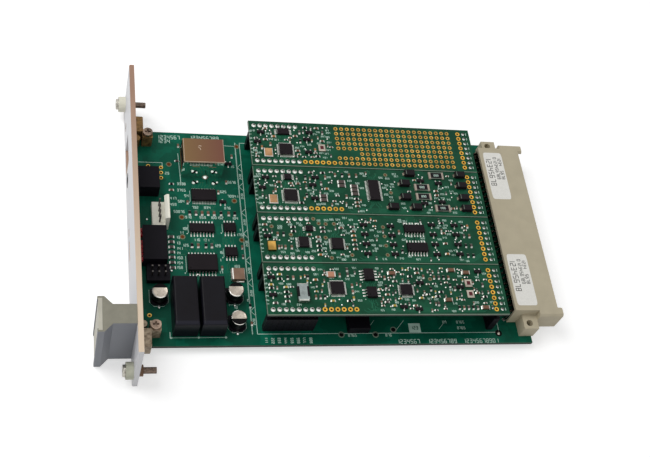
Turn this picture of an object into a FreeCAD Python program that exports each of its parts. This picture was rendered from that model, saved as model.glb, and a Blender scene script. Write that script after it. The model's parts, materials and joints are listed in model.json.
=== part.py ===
import FreeCAD, Part
import os
import re
import Sketcher

# Switch line card: a plug-in carrier board with a front panel, a pull handle, four stacked
# modules and a three-row rear connector. Millimetres.
# X runs from the front panel's rear face (0) to the rear connector, Y along the panel from its
# middle, and Z up from the carrier board's component face (0).

SIZES = {
    # front panel
    "panel_height": 128.4,
    "panel_width": 30.1,
    "panel_thickness": 2.0,
    "panel_drop": 4.07,
    "panel_edge_break": 0.3,
    # carrier board
    "board_gap": 2.0,
    "board_length": 160.0,
    "board_end_margin": 14.2,
    "board_thickness": 1.6,
    # grid that the headers, modules and connector contacts share
    "pitch": 2.54,
    "fit_clearance": 0.05,
    # captive screws and their plastic bushes
    "captive_end_margin": 3.0,
    "captive_inset": 7.45,
    "thread_radius": 1.25,
    "neck_radius": 0.95,
    "running_clearance": 0.08,
    "screw_reach": 6.5,
    "thread_start": 1.8,
    "head_radius": 2.3,
    "head_height": 2.0,
    "head_room": 0.2,
    "recess_depth": 0.9,
    "recess_width": 0.6,
    "bush_radius": 3.3,
    "bush_flange": 2.8,
    "bush_counterbore": 1.2,
    "bush_lip": 1.2,
    "spigot_radius": 1.75,
    "spigot_reach": 1.6,
    "lock_ring_radius": 2.2,
    "washer_thickness": 0.3,
    # pull handle, seen along Z
    "bracket_margin": 0.8,
    "handle_end_gap": 0.1,
    "neck_width": 7.7,
    "neck_length": 8.5,
    "flare_length": 3.0,
    "plate_thickness": 2.4,
    "plate_width": 14.0,
    "strip_thickness": 1.5,
    "strip_lip": 0.3,
    "strip_width": 12.6,
    "lip_overlap": 0.6,
    # cast board brackets and their screws
    "column_depth": 4.9,
    "column_width": 7.6,
    "column_height": 6.3,
    "lug_x": 6.6,
    "lug_margin": 5.6,
    "lug_radius": 2.1,
    "lug_fillet": 0.5,
    "peg_x": 2.1,
    "peg_margin": 7.1,
    "peg_radius": 1.5,
    "peg_height": 5.2,
    "tapped_depth": 4.4,
    "pan_radius": 2.0,
    "pan_height": 1.4,
    "nut_flats": 4.6,
    "nut_height": 1.8,
    "screw_overrun": 0.3,
    # plug-in modules
    "module_count": 4,
    "module_pitch": 22.86,
    "module_middle_y": 0.48,
    "module_width": 22.5,
    "module_thickness": 1.2,
    "module_top": 16.1,
    "module_front_room": 47.7,
    "module_rear_room": 18.32,
    "pin_inset": 2.3,
    "end_inset": 2.8,
    "header_ways": 8,
    "header_width": 2.5,
    "socket_height": 9.8,
    "strip_height": 2.5,
    "pin_width": 0.6,
    "pin_entry": 5.0,
    "pin_stand": 0.7,
    # rear connector
    "contact_columns": 32,
    "contact_width": 0.6,
    "block_length": 10.6,
    "block_margin": 1.23,
    "block_height": 11.0,
    "block_wall": 1.4,
    "block_cheek": 0.8,
    "carrier_wall": 4.3,
    "shroud_overhang": 0.8,
    "shroud_length": 8.5,
    "shroud_margin": 3.63,
    "shroud_height": 11.0,
    "shroud_wall": 1.1,
    "shroud_corner": 0.8,
    "shroud_drop": 0.2,
    "lug_length": 2.0,
    "lug_width": 4.1,
    "ear_length": 6.4,
    "ear_reach": 4.0,
    "ear_height": 7.0,
    "ear_hole_radius": 1.4,
    "ear_hole_setback": 2.9,
    "ear_hole_reach": 1.45,
    "leg_setback": 0.8,
    "tail_length": 1.3,
    "contact_tip_gap": 1.2,
    # metal-shelled socket
    "shell_x": 20.5,
    "shell_y": 33.4,
    "shell_length": 16.7,
    "shell_width": 11.8,
    "shell_height": 11.0,
    "shell_wall": 0.4,
    "mouth_width": 8.5,
    "mouth_height": 7.8,
    "mouth_corner": 1.6,
    "mouth_depth": 12.0,
    "tongue_width": 5.6,
    "tongue_height": 3.2,
    # relays
    "relay_x": 18.1,
    "relay_y": -35.3,
    "relay_pitch": 10.6,
    "relay_width": 9.5,
    "relay_length": 21.2,
    "relay_height": 10.0,
    "relay_round": 0.9,
    # can capacitors
    "can_radius": 3.15,
    "can_top": 6.2,
    "base_half": 3.3,
    "base_corner": 1.1,
    "base_height": 1.1,
    "can_1_x": 8.9,
    "can_1_y": -29.5,
    "can_2_x": 38.4,
    "can_2_y": -28.8,
    "can_3_x": 38.6,
    "can_3_y": -40.9,
    # chip capacitor and choke
    "brick_x": 40.6,
    "brick_y": -19.6,
    "brick_side": 5.0,
    "brick_height": 2.2,
    "choke_x": 87.1,
    "choke_y": -40.6,
    "choke_length": 8.6,
    "choke_width": 9.2,
    "choke_height": 4.2,
    # front jack
    "jack_y": 22.4,
    "jack_width": 10.2,
    "jack_height": 7.0,
    "jack_gap": 0.4,
    "jack_length": 10.2,
    "jack_bore_radius": 1.8,
    "jack_bore_depth": 8.0,
    "collar_radius": 3.0,
    "window_clearance": 0.2,
    # indicator lamps and their holder
    "lamp_holder_x": 3.1,
    "lamp_holder_length": 9.4,
    "lamp_holder_y": 0.0,
    "lamp_holder_width": 15.5,
    "lamp_holder_height": 6.0,
    "lamp_width": 1.5,
    "lamp_slope": 0.4,
    "lamp_pitch": 1.85,
    "lamp_y": -1.3,
    "lamp_z": 3.4,
    "lamp_socket_depth": 3.0,
    "lamp_tip_gap": 0.6,
    # latch header
    "latch_x": 7.4,
    "latch_length": 6.4,
    "latch_y": 7.05,
    "latch_width": 11.1,
    "latch_base": 3.2,
    "latch_wall": 1.4,
    "latch_top": 9.2,
    "latch_hook": 0.5,
    "latch_pin_x": 10.2,
    "latch_pin_top": 8.4,
    "latch_ways": 4,
    # two-row pin header
    "plug_x": 8.95,
    "plug_y": -19.4,
    "plug_length": 9.0,
    "plug_width": 7.4,
    "plug_height": 2.6,
    "plug_pin_top": 5.6,
    "plug_columns": 3,
    # window for the cable of the metal-shelled socket
    "cable_window_width": 13.0,
    "cable_window_low": -0.4,
    "cable_window_high": 11.6,
    # chip packages
    "chip_break": 0.15,
    "chip_stand": 0.1,
    "quad_side": 5.4,
    "quad_height": 1.1,
    "small_outline_width": 3.9,
    "small_outline_height": 1.6,
    "diode_length": 4.3,
    "diode_width": 2.6,
    "diode_height": 2.0,
    "resistor_length": 6.4,
    "resistor_width": 2.9,
    "resistor_height": 0.7,
}

# Sizes and places that follow from the ones above.
DERIVED = {
    "panel_low": "-panel_drop",
    "panel_high": "panel_width - panel_drop",
    "screw_z": "captive_inset - panel_drop",
    "captive_y": "panel_height / 2 - captive_end_margin",
    "board_half": "panel_height / 2 - board_end_margin",
    "board_rear": "board_gap + board_length",
    "bracket_y": "board_half - bracket_margin",
    "lug_y": "board_half - lug_margin",
    "peg_y": "board_half - peg_margin",
    "fixing_radius": "thread_radius + fit_clearance",
    "first_pin_x": "board_gap + module_front_room",
    "pin_gaps": "round((board_length - module_front_room - module_rear_room) / pitch)",
    "last_pin_x": "first_pin_x + pin_gaps * pitch",
    "pin_row_half": "(header_ways - 1) * pitch / 2",
    "header_length": "header_ways * pitch",
    "module_bottom": "module_top - module_thickness",
    "contact_half": "(contact_columns - 1) * pitch / 2",
    "block_half": "contact_half + block_margin",
    "shroud_half": "contact_half + shroud_margin",
    "lug_inner": "shroud_half - lug_width",
    "ear_half": "shroud_half + ear_reach",
    "ear_hole_y": "shroud_half + ear_hole_reach",
    "ear_hole_x": "board_rear - ear_hole_setback",
    "shroud_back": "board_rear + shroud_overhang",
    "block_front": "shroud_back - block_length",
    "shroud_mouth": "shroud_back + shroud_length",
    "shroud_low": "-shroud_drop",
    "shroud_high": "shroud_height - shroud_drop",
    "middle_row_z": "shroud_height / 2 - shroud_drop",
}

# Chip places: middle X and Y, then length along X, width along Y and height. On the carrier they
# are in the card's own frame. On a module they are from its first pin's column and its middle
# line, for a module of MODULE_GAPS pin gaps; a longer or shorter one spreads them with it.
MODULE_GAPS = 37
CARRIER_CHIPS = {
    "bus_driver": (29.2, 17.9, "10.2", "5.3", "1.8"),
    "line_driver": (27.5, 2.1, "10.0", "small_outline_width", "small_outline_height"),
    "clock_buffer": (38.9, 2.6, "4.9", "small_outline_width", "small_outline_height"),
    "relay_driver": (26.7, -14.4, "11.8", "7.3", "2.3"),
    "supply_monitor": (38.7, -8.9, "4.9", "small_outline_width", "small_outline_height"),
}
MODULE_CHIPS = {
    1: {
        "processor": (12.5, -3.2, "quad_side", "quad_side", "quad_height"),
        "memory": (12.2, 5.9, "4.9", "2.9", "quad_height"),
    },
    2: {
        "processor": (12.2, -3.1, "quad_side", "quad_side", "quad_height"),
        "memory": (11.8, 5.9, "2.9", "2.6", "quad_height"),
        "converter": (48.1, 0.5, "4.4", "9.7", "quad_height"),
    },
    3: {
        "processor": (15.2, -2.2, "4.0", "4.6", "quad_height"),
        "interface": (28.9, -2.7, "4.8", "5.0", "quad_height"),
        "memory": (18.1, 4.2, "2.9", "2.4", "quad_height"),
        "far_amplifier": (62.4, 4.7, "8.6", "3.3", "small_outline_height"),
        "near_amplifier": (62.4, -4.1, "8.6", "3.9", "small_outline_height"),
    },
    4: {
        "processor": (26.3, 0.2, "quad_side", "quad_side", "quad_height"),
        "far_switch": (39.8, 6.0, "small_outline_width", "4.9", "small_outline_height"),
        "near_switch": (40.0, -1.8, "small_outline_width", "4.4", "small_outline_height"),
        "converter": (54.5, -0.5, "4.8", "4.6", "quad_height"),
    },
}
MODULE_CRYSTALS = {1: (5.0, -4.9), 2: (4.9, -5.0)}
CRYSTAL = ("3.1", "3.7", "0.9")
DIODE_PLACES = ((64.9, 9.3), (61.9, 4.2), (61.4, -2.7), (55.3, -7.6), (65.4, -7.6),
                (87.7, 9.3), (87.5, 3.8), (87.4, -2.3), (87.7, -7.6))
RESISTOR_PLACES = ((77.0, 8.8), (69.6, 2.6), (69.6, -2.0), (77.2, -7.6))
INDUCTORS = {"filter_coil": (3, 2.0, -4.3, "3.2", "3.9", "1.4"),
             "shielded_coil": (4, 12.1, -2.3, "4.5", "6.6", "2.4")}

doc = FreeCAD.newDocument("switch_line_card")
sheet = doc.addObject("Spreadsheet::Sheet", "Sizes")
for row, (alias, value) in enumerate(SIZES.items(), start=1):
    sheet.set(f"A{row}", alias)
    sheet.set(f"B{row}", str(value))
    sheet.setAlias(f"B{row}", alias)
doc.recompute()

nodes = {}


def bind(text):
    """Expression text with each derived name written out and each size's alias pointing into the sheet."""
    def written_out(word):
        if word[0] in DERIVED:
            return f"({bind(DERIVED[word[0]])})"
        return f"Sizes.{word[0]}" if word[0] in SIZES else word[0]

    return re.sub(r"[a-z][a-z_0-9]*", written_out, str(text))


def value(text):
    """Present value of an expression, as a plain number."""
    return float(sheet.evalExpression(bind(text)))


def place(piece, x="0", y="0", z="0", turn=None):
    """Put a piece at expressions x, y, z, turned by an (axis, degrees) pair."""
    if turn:
        axis, degrees = turn
        rotation = FreeCAD.Rotation(FreeCAD.Vector(*axis), degrees)
        piece.Placement = FreeCAD.Placement(FreeCAD.Vector(), rotation)
    for axis, text in zip("xyz", (x, y, z)):
        piece.setExpression(f".Placement.Base.{axis}", bind(text))
    return piece


def block(label, x, y, z):
    """Box between the (low, high) expressions of each axis."""
    box = doc.addObject("Part::Box", label)
    for side, (low, high) in zip(("Length", "Width", "Height"), (x, y, z)):
        box.setExpression(side, bind(f"({high}) - ({low})"))
    return place(box, x[0], y[0], z[0])


def centred(middle, size):
    """(low, high) expressions of a size about its middle."""
    return f"({middle}) - ({size}) / 2", f"({middle}) + ({size}) / 2"


def cylinder(label, radius, low, high, x="0", y="0", z="0", along="z"):
    """Cylinder from low to high along X or Z, its axis through the other two places."""
    rod = doc.addObject("Part::Cylinder", label)
    rod.setExpression("Radius", bind(radius))
    rod.setExpression("Height", bind(f"({high}) - ({low})"))
    if along == "x":
        return place(rod, low, y, z, ((0, 1, 0), 90))
    return place(rod, x, y, low)


def group(label, pieces):
    """Separate solids held together in one node."""
    compound = doc.addObject("Part::Compound", label)
    compound.Links = pieces
    return compound


def cut(label, base, tools):
    """Base less its tools."""
    result = doc.addObject("Part::Cut", label)
    result.Base = base
    result.Tool = tools[0] if len(tools) == 1 else group(f"{label}_tools", tools)
    return result


def keep(label, piece):
    """Name a finished piece as a node."""
    piece.Label = label
    nodes[label] = piece
    return piece


def new_body(label):
    return doc.addObject("PartDesign::Body", label)


def origin_part(body, role):
    """A plane or axis of the body's own origin."""
    return next(part for part in body.Origin.OriginFeatures if part.Role == role)


def sketch(body, role, offset, loops):
    """Sketch of closed loops on an origin plane, moved along its normal.

    A loop is a list of (x, y) corners, or a (x, y, radius) circle, all as expressions.
    """
    drawing = body.newObject("Sketcher::SketchObject", f"{body.Name}_sketch")
    drawing.AttachmentSupport = [(origin_part(body, role), "")]
    drawing.MapMode = "FlatFace"
    drawing.setExpression(".AttachmentOffset.Base.z", bind(offset))

    def pin_point(edge, end, x, y):
        for kind, text in (("DistanceX", x), ("DistanceY", y)):
            number = drawing.addConstraint(Sketcher.Constraint(kind, -1, 1, edge, end, value(text)))
            drawing.setExpression(f"Constraints[{number}]", bind(text))

    for loop in loops:
        if isinstance(loop, tuple):
            x, y, radius = loop
            middle = FreeCAD.Vector(value(x), value(y), 0)
            edge = drawing.addGeometry(Part.Circle(middle, FreeCAD.Vector(0, 0, 1), value(radius)), False)
            pin_point(edge, 3, x, y)
            number = drawing.addConstraint(Sketcher.Constraint("Radius", edge, value(radius)))
            drawing.setExpression(f"Constraints[{number}]", bind(radius))
            continue
        corners = [FreeCAD.Vector(value(x), value(y), 0) for x, y in loop]
        edges = [drawing.addGeometry(Part.LineSegment(start, end), False)
                 for start, end in zip(corners, corners[1:] + corners[:1])]
        for edge, following in zip(edges, edges[1:] + edges[:1]):
            drawing.addConstraint(Sketcher.Constraint("Coincident", edge, 2, following, 1))
        for edge, (x, y) in zip(edges, loop):
            pin_point(edge, 1, x, y)
    return drawing


def rectangle(x, y):
    """Loop of a rectangle between (low, high) expressions."""
    return [(x[0], y[0]), (x[1], y[0]), (x[1], y[1]), (x[0], y[1])]


def clipped_rectangle(x, y, corner):
    """Loop of a rectangle whose four corners are cut at 45 degrees."""
    (left, right), (low, high) = x, y
    return [(f"{left} + {corner}", low), (f"{right} - {corner}", low),
            (right, f"{low} + {corner}"), (right, f"{high} - {corner}"),
            (f"{right} - {corner}", high), (f"{left} + {corner}", high),
            (left, f"{high} - {corner}"), (left, f"{low} + {corner}")]


def pad(body, role, offset, loops, length, midplane=False):
    """Material added along the plane's normal."""
    feature = body.newObject("PartDesign::Pad", f"{body.Name}_pad")
    feature.Profile = sketch(body, role, offset, loops)
    feature.setExpression("Length", bind(length))
    feature.Midplane = midplane
    body.Tip = feature
    return feature


def pocket(body, role, offset, loops, depth, reverse=False):
    """Material removed against the plane's normal, or along it when reversed."""
    doc.recompute()
    before = body.Shape.Volume
    feature = body.newObject("PartDesign::Pocket", f"{body.Name}_pocket")
    feature.Profile = sketch(body, role, offset, loops)
    feature.setExpression("Length", bind(depth))
    feature.Reversed = reverse
    body.Tip = feature
    doc.recompute()
    if body.Shape.Volume >= before:
        raise RuntimeError(f"the pocket in {body.Name} cuts nothing")
    return feature


def soften(body, kind, size, chosen):
    """Fillet or chamfer of the edges that the chosen test picks on the body's tip."""
    doc.recompute()
    base = body.Tip
    names = [f"Edge{number}" for number, edge in enumerate(base.Shape.Edges, start=1) if chosen(edge)]
    feature = body.newObject(f"PartDesign::{kind}", f"{body.Name}_{kind.lower()}")
    feature.Base = (base, names)
    feature.setExpression("Radius" if kind == "Fillet" else "Size", bind(size))
    body.Tip = feature
    return feature


def repeat(body, axis, step, count):
    """Copies of the whole body along one origin axis, as separate solids."""
    doc.recompute()
    pattern = body.newObject("PartDesign::LinearPattern", f"{body.Name}_pattern")
    pattern.Originals = [part for part in body.Group if part.isDerivedFrom("PartDesign::FeatureAddSub")]
    pattern.Direction = (origin_part(body, axis), [""])
    pattern.Mode = "Spacing"
    pattern.setExpression("Offset", bind(step))
    pattern.setExpression("Occurrences", bind(count))
    body.Tip = pattern
    return pattern


def turned(label, profile):
    """Body turned about the X axis from (x, radius) corners."""
    body = new_body(label)
    feature = body.newObject("PartDesign::Revolution", f"{body.Name}_turning")
    drawing = sketch(body, "XY_Plane", "0", [profile])
    feature.Profile = drawing
    feature.ReferenceAxis = (drawing, ["H_Axis"])
    feature.Angle = 360
    body.Tip = feature
    return body


def cross_recess(body, face, depth, width, reach):
    """Cross-shaped driver recess cut in from a head's front face at x = face."""
    arm, half = reach, f"{width} / 2"
    cross = [(half, half), (arm, half), (arm, f"-{half}"), (half, f"-{half}"), (half, f"-{arm}"),
             (f"-{half}", f"-{arm}"), (f"-{half}", f"-{half}"), (f"-{arm}", f"-{half}"),
             (f"-{arm}", half), (f"-{half}", half), (f"-{half}", arm), (half, arm)]
    return pocket(body, "YZ_Plane", face, [cross], depth, reverse=True)


def is_upright(edge):
    """True for a straight edge along Z."""
    return len(edge.Vertexes) == 2 and abs(edge.tangentAt(edge.FirstParameter).z) > 0.999


SIDES = {"upper": 1, "lower": -1}


def lamp_groups():
    """The two rows of lamps: places of the first lamp and how many follow."""
    return (("lamp_y", 2), ("lamp_y - 3 * lamp_pitch", 5))


def build_front_panel():
    """Flat panel with its rail holes, cable window, jack hole and lamp slots."""
    body = new_body("panel_plate")
    half = "panel_height / 2"
    outline = rectangle((f"-{half}", half), ("panel_low", "panel_high"))
    pad(body, "YZ_Plane", "-panel_thickness", [outline], "panel_thickness")
    holes = [(f"{side} * captive_y", "screw_z", "spigot_radius + fit_clearance")
             for side in SIDES.values()]
    holes += [(f"{side} * bracket_y", "screw_z", "fixing_radius") for side in SIDES.values()]
    holes.append(rectangle(centred("shell_y", "cable_window_width"),
                           ("cable_window_low", "cable_window_high")))
    holes.append(("jack_y", "jack_height / 2", "collar_radius + window_clearance"))
    for first, count in lamp_groups():
        margin = "(lamp_width / 2 + window_clearance)"
        holes.append(rectangle((f"{first} - {count - 1} * lamp_pitch - {margin}", f"{first} + {margin}"),
                               (f"lamp_z - {margin}", f"lamp_z + {margin}")))
    pocket(body, "YZ_Plane", "0", holes, "panel_thickness")
    front = -value("panel_thickness")
    end_y, low_z, high_z = value("panel_height") / 2, value("panel_low"), value("panel_high")
    near = value("fit_clearance")

    def on_front_rim(edge):
        middle = edge.CenterOfMass
        on_end = abs(abs(middle.y) - end_y) < near
        on_side = min(abs(middle.z - low_z), abs(middle.z - high_z)) < near
        return abs(middle.x - front) < near and (on_end or on_side)

    soften(body, "Chamfer", "panel_edge_break", on_front_rim)
    sink = doc.addObject("Part::Cone", "panel_countersink")
    sink.setExpression("Radius1", bind("pan_radius + fit_clearance"))
    sink.setExpression("Radius2", bind("fixing_radius"))
    sink.setExpression("Height", bind("pan_radius - thread_radius"))
    place(sink, "-panel_thickness", "bracket_y", "screw_z", ((0, 1, 0), 90))
    keep("front_panel", cut("panel_with_countersink", body, [sink]))


def build_pull_handle():
    """Handle of one section along Z, with a channel for its label strip and a screw hole."""
    body = new_body("handle_section")
    root = "-panel_thickness"
    flare_start = f"{root} - neck_length"
    plate_back = f"{flare_start} - flare_length"
    plate_front = f"{plate_back} - plate_thickness"
    floor = f"{plate_front} + strip_lip + strip_thickness"
    lip_back = f"{plate_front} + strip_lip"
    half_section = [(root, "neck_width / 2"), (flare_start, "neck_width / 2"),
                    (plate_back, "plate_width / 2"), (plate_front, "plate_width / 2"),
                    (plate_front, "strip_width / 2 - lip_overlap"),
                    (lip_back, "strip_width / 2 - lip_overlap"),
                    (lip_back, "strip_width / 2 + fit_clearance"), (floor, "strip_width / 2 + fit_clearance")]
    middle = "-bracket_y"
    outline = [(x, f"{middle} + ({y})") for x, y in half_section]
    outline += [(x, f"{middle} - ({y})") for x, y in reversed(half_section)]
    pad(body, "XY_Plane", "panel_low + handle_end_gap", [outline], "panel_width - 2 * handle_end_gap")
    limit = value("bracket_y"), value("plate_width") / 2
    soften(body, "Fillet", "strip_lip",
           lambda edge: is_upright(edge) and abs(abs(edge.CenterOfMass.y + limit[0]) - limit[1]) < 0.01)
    hole = cylinder("handle_hole", "fixing_radius", floor, root, y=middle, z="screw_z", along="x")
    sink = doc.addObject("Part::Cone", "handle_countersink")
    sink.setExpression("Radius1", bind("pan_radius + fit_clearance"))
    sink.setExpression("Radius2", bind("fixing_radius"))
    sink.setExpression("Height", bind("pan_radius - thread_radius"))
    place(sink, floor, middle, "screw_z", ((0, 1, 0), 90))
    keep("pull_handle", cut("handle_with_hole", body, [hole, sink]))
    strip_x = (lip_back, f"{floor} - fit_clearance")
    strip_z = ("panel_low + handle_end_gap", "panel_high - handle_end_gap")
    keep("handle_label_strip", block("label_strip", strip_x, centred(middle, "strip_width"), strip_z))
    screw = countersunk_screw("long_fixing_screw", floor, "tapped_depth - fit_clearance")
    keep("handle_screw", place(screw, "0", middle, "screw_z"))


def countersunk_screw(label, face, end):
    """Countersunk screw from its head's face to the end of its thread."""
    profile = [(face, "0"), (face, "pan_radius"), (f"{face} + pan_radius - thread_radius", "thread_radius"),
               (end, "thread_radius"), (end, "0")]
    body = turned(label, profile)
    cross_recess(body, face, "recess_depth", "recess_width", "pan_radius * 0.6")
    return body


def build_captive_screws():
    """Screw, neck washer, bush and lock ring at each end of the panel."""
    flange_front = "-(panel_thickness + bush_flange)"
    seat = f"{flange_front} + bush_counterbore"
    lip_back = f"{seat} + bush_lip"
    head_back = f"{seat} - washer_thickness"
    head_front = f"{head_back} - head_height"
    neck_bore = "neck_radius + running_clearance"
    thread_bore = "thread_radius + running_clearance"
    screw_profile = [(head_front, "0"), (head_front, "head_radius"), (head_back, "head_radius"),
                     (head_back, "neck_radius"), ("thread_start", "neck_radius"),
                     ("thread_start", "thread_radius"), ("screw_reach", "thread_radius"),
                     ("screw_reach", "0")]
    bush_profile = [(flange_front, "head_radius + head_room"), (seat, "head_radius + head_room"),
                    (seat, neck_bore),
                    (lip_back, neck_bore), (lip_back, thread_bore), ("spigot_reach", thread_bore),
                    ("spigot_reach", "spigot_radius"), ("-panel_thickness", "spigot_radius"),
                    ("-panel_thickness", "bush_radius"), (flange_front, "bush_radius")]
    washer_profile = [(head_back, neck_bore), (seat, neck_bore), (seat, "head_radius - head_room / 2"),
                      (head_back, "head_radius - head_room / 2")]
    ring_profile = [("0", "spigot_radius + fit_clearance"), ("spigot_reach", "spigot_radius + fit_clearance"),
                    ("spigot_reach", "lock_ring_radius"), ("0", "lock_ring_radius")]
    for end, side in SIDES.items():
        axis_y = f"{side} * captive_y"
        screw = turned(f"{end}_screw_body", screw_profile)
        cross_recess(screw, head_front, "recess_depth", "recess_width", "head_radius * 0.5")
        keep(f"{end}_captive_screw", place(screw, "0", axis_y, "screw_z"))
        for name, profile in (("screw_bush", bush_profile), ("neck_washer", washer_profile),
                              ("lock_ring", ring_profile)):
            keep(f"{end}_{name}", place(turned(f"{end}_{name}_body", profile), "0", axis_y, "screw_z"))


def build_brackets():
    """Cast brackets between the panel and the board, with their screws and nuts."""
    screws, nuts = [], []
    for end, side in SIDES.items():
        body = new_body(f"{end}_bracket_casting")
        near_low, near_high = centred("bracket_y", "column_width")
        lug_low, lug_high = centred("lug_y", "2 * lug_radius")
        outline = [("0", near_low), ("0", near_high), ("column_depth", near_high), ("column_depth", lug_high),
                   ("lug_x + lug_radius", lug_high), ("lug_x + lug_radius", lug_low),
                   ("lug_x - lug_radius", lug_low), ("lug_x - lug_radius", near_low)]
        pad(body, "XY_Plane", "0", [[(x, f"{side} * ({y})") for x, y in outline]], "column_height")
        reach = value("lug_x + lug_radius"), value(near_high)
        soften(body, "Fillet", "lug_fillet", lambda edge: is_upright(edge) and (
            edge.CenterOfMass.x > reach[0] - 0.01
            or (edge.CenterOfMass.x > 1 and abs(edge.CenterOfMass.y) > reach[1] - 0.01)))
        pad(body, "XY_Plane", "0", [("peg_x", f"{side} * peg_y", "peg_radius")], "peg_height")
        pad(body, "XY_Plane", "0", [rectangle(("0", "peg_x"), centred(f"{side} * (peg_y + peg_radius)",
                                                                     "2 * peg_radius"))], "peg_height")
        lug_hole = ("lug_x", f"{side} * lug_y", "fixing_radius")
        pocket(body, "XY_Plane", "column_height", [lug_hole], "column_height")
        pocket(body, "YZ_Plane", "0", [(f"{side} * bracket_y", "screw_z", "fixing_radius")], "tapped_depth",
               reverse=True)
        keep(f"{end}_board_bracket", body)

        head = "-pan_height"
        under_nut = "column_height + board_thickness + nut_height + screw_overrun"
        profile = [(head, "0"), (head, "pan_radius"), ("0", "pan_radius"), ("0", "thread_radius"),
                   (under_nut, "thread_radius"), (under_nut, "0")]
        screw = turned(f"{end}_lug_screw", profile)
        cross_recess(screw, head, "recess_depth", "recess_width", "pan_radius * 0.6")
        screws.append(place(screw, "lug_x", f"{side} * lug_y", "column_height", ((0, 1, 0), 90)))
        hexagon = doc.addObject("Part::Prism", f"{end}_nut_blank")
        hexagon.Polygon = 6
        hexagon.setExpression("Circumradius", bind("nut_flats / sqrt(3)"))
        hexagon.setExpression("Height", bind("nut_height"))
        nut_foot = "-board_thickness - nut_height"
        place(hexagon, "lug_x", f"{side} * lug_y", nut_foot)
        bore = cylinder(f"{end}_nut_bore", "fixing_radius", nut_foot, "-board_thickness",
                        "lug_x", f"{side} * lug_y")
        nuts.append(cut(f"{end}_nut", hexagon, [bore]))
    keep("bracket_screws", group("lug_screws", screws))
    keep("bracket_nuts", group("lug_nuts", nuts))
    screw = countersunk_screw("short_fixing_screw", "-panel_thickness", "tapped_depth - fit_clearance")
    keep("panel_screw", place(screw, "0", "bracket_y", "screw_z"))


def build_carrier_board():
    """Carrier board with the holes that its brackets and rear connector need."""
    body = new_body("carrier_laminate")
    outline = rectangle(("board_gap", "board_rear"), ("-board_half", "board_half"))
    pad(body, "XY_Plane", "-board_thickness", [outline], "board_thickness")
    holes = [("lug_x", f"{side} * lug_y", "fixing_radius") for side in SIDES.values()]
    holes += [("ear_hole_x", f"{side} * ear_hole_y", "ear_hole_radius") for side in SIDES.values()]
    pocket(body, "XY_Plane", "0", holes, "board_thickness")
    keep("carrier_board", body)


def build_rear_connector():
    """Moulded housing with ears and an open shroud, and three rows of contacts bent down into tails."""
    body = new_body("connector_moulding")
    roof = [("block_front", "block_height"), ("block_front", "block_height - block_wall"),
            ("shroud_back - carrier_wall", "block_height - block_wall"), ("shroud_back - carrier_wall", "0"),
            ("shroud_back", "0"), ("shroud_back", "block_height")]
    pad(body, "XZ_Plane", "0", [roof], "2 * block_half", midplane=True)
    cheeks = [rectangle(sorted_pair(side, "block_half - block_cheek", "block_half"), ("0", "block_height"))
              for side in SIDES.values()]
    pad(body, "YZ_Plane", "block_front", cheeks, "block_length")
    shroud = clipped_rectangle(("-shroud_half", "shroud_half"), ("shroud_low", "shroud_high"),
                               "shroud_corner")
    pad(body, "YZ_Plane", "shroud_back", [shroud], "shroud_length")
    lugs = [clipped_rectangle(sorted_pair(side, "lug_inner", "shroud_half"), ("shroud_low", "shroud_high"),
                              "shroud_corner") for side in SIDES.values()]
    pad(body, "YZ_Plane", "shroud_mouth", lugs, "lug_length")
    mouth = rectangle(("-shroud_half + shroud_wall", "shroud_half - shroud_wall"),
                      ("shroud_low + shroud_wall", "shroud_high - shroud_wall"))
    pocket(body, "YZ_Plane", "shroud_mouth + lug_length", [mouth], "shroud_length + lug_length - shroud_wall")
    ears = [rectangle(("shroud_back - ear_length", "shroud_back"),
                      sorted_pair(side, "block_half", "ear_half")) for side in SIDES.values()]
    pad(body, "XY_Plane", "0", ears, "ear_height")
    holes = [("ear_hole_x", f"{side} * ear_hole_y", "ear_hole_radius") for side in SIDES.values()]
    pocket(body, "XY_Plane", "ear_height", holes, "ear_height")
    keep("rear_connector_housing", body)

    half = "contact_width / 2"
    foot = "-board_thickness - tail_length"
    contacts, tails = [], []
    for level in (-1, 0, 1):
        height = f"middle_row_z + {level} * pitch"
        leg = f"block_front - leg_setback + {1 - level} * pitch"
        tip = "shroud_mouth - contact_tip_gap"
        contact = rectangle((f"{leg} - {half}", tip), centred(height, "contact_width"))
        tail = rectangle((f"{leg} - {half}", f"{leg} + {half}"), (foot, f"{height} - {half}"))
        for rows, name, outline in ((contacts, "contact", contact), (tails, "tail", tail)):
            row = new_body(f"{name}_row_{level + 2}")
            pad(row, "XZ_Plane", "contact_half", [outline], "contact_width", midplane=True)
            repeat(row, "Y_Axis", "pitch", "contact_columns")
            rows.append(row)
    keep("rear_connector_pins", group("contact_rows", contacts))
    keep("rear_connector_tails", group("tail_rows", tails))


def sorted_pair(side, inner, outer):
    """Low and high expressions of a span that is mirrored to the side's sign."""
    return (inner, outer) if side > 0 else (f"-({outer})", f"-({inner})")


def module_middle(number):
    """Middle line of a module, counted from the far one."""
    return f"(module_middle_y + ((module_count + 1) / 2 - {number}) * module_pitch)"


def along_module(x):
    """X of a place on a module, spread with the module's length."""
    return f"(first_pin_x + {x} * pin_gaps / {MODULE_GAPS})"


def header_strips(label, middle, low, high):
    """The three header bodies of one module: far row, near row and end column."""
    first_half = ("first_pin_x - pitch / 2", "first_pin_x - pitch / 2 + header_length")
    strips = []
    for name, sign in (("far", 1), ("near", -1)):
        row = centred(f"{middle} + {sign} * pin_row_half", "header_width")
        strips.append(block(f"{label}_{name}", first_half, row, (low, high)))
    end_x, end_y = centred("last_pin_x", "header_width"), centred(middle, "header_length")
    strips.append(block(f"{label}_end", end_x, end_y, (low, high)))
    return strips


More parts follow.
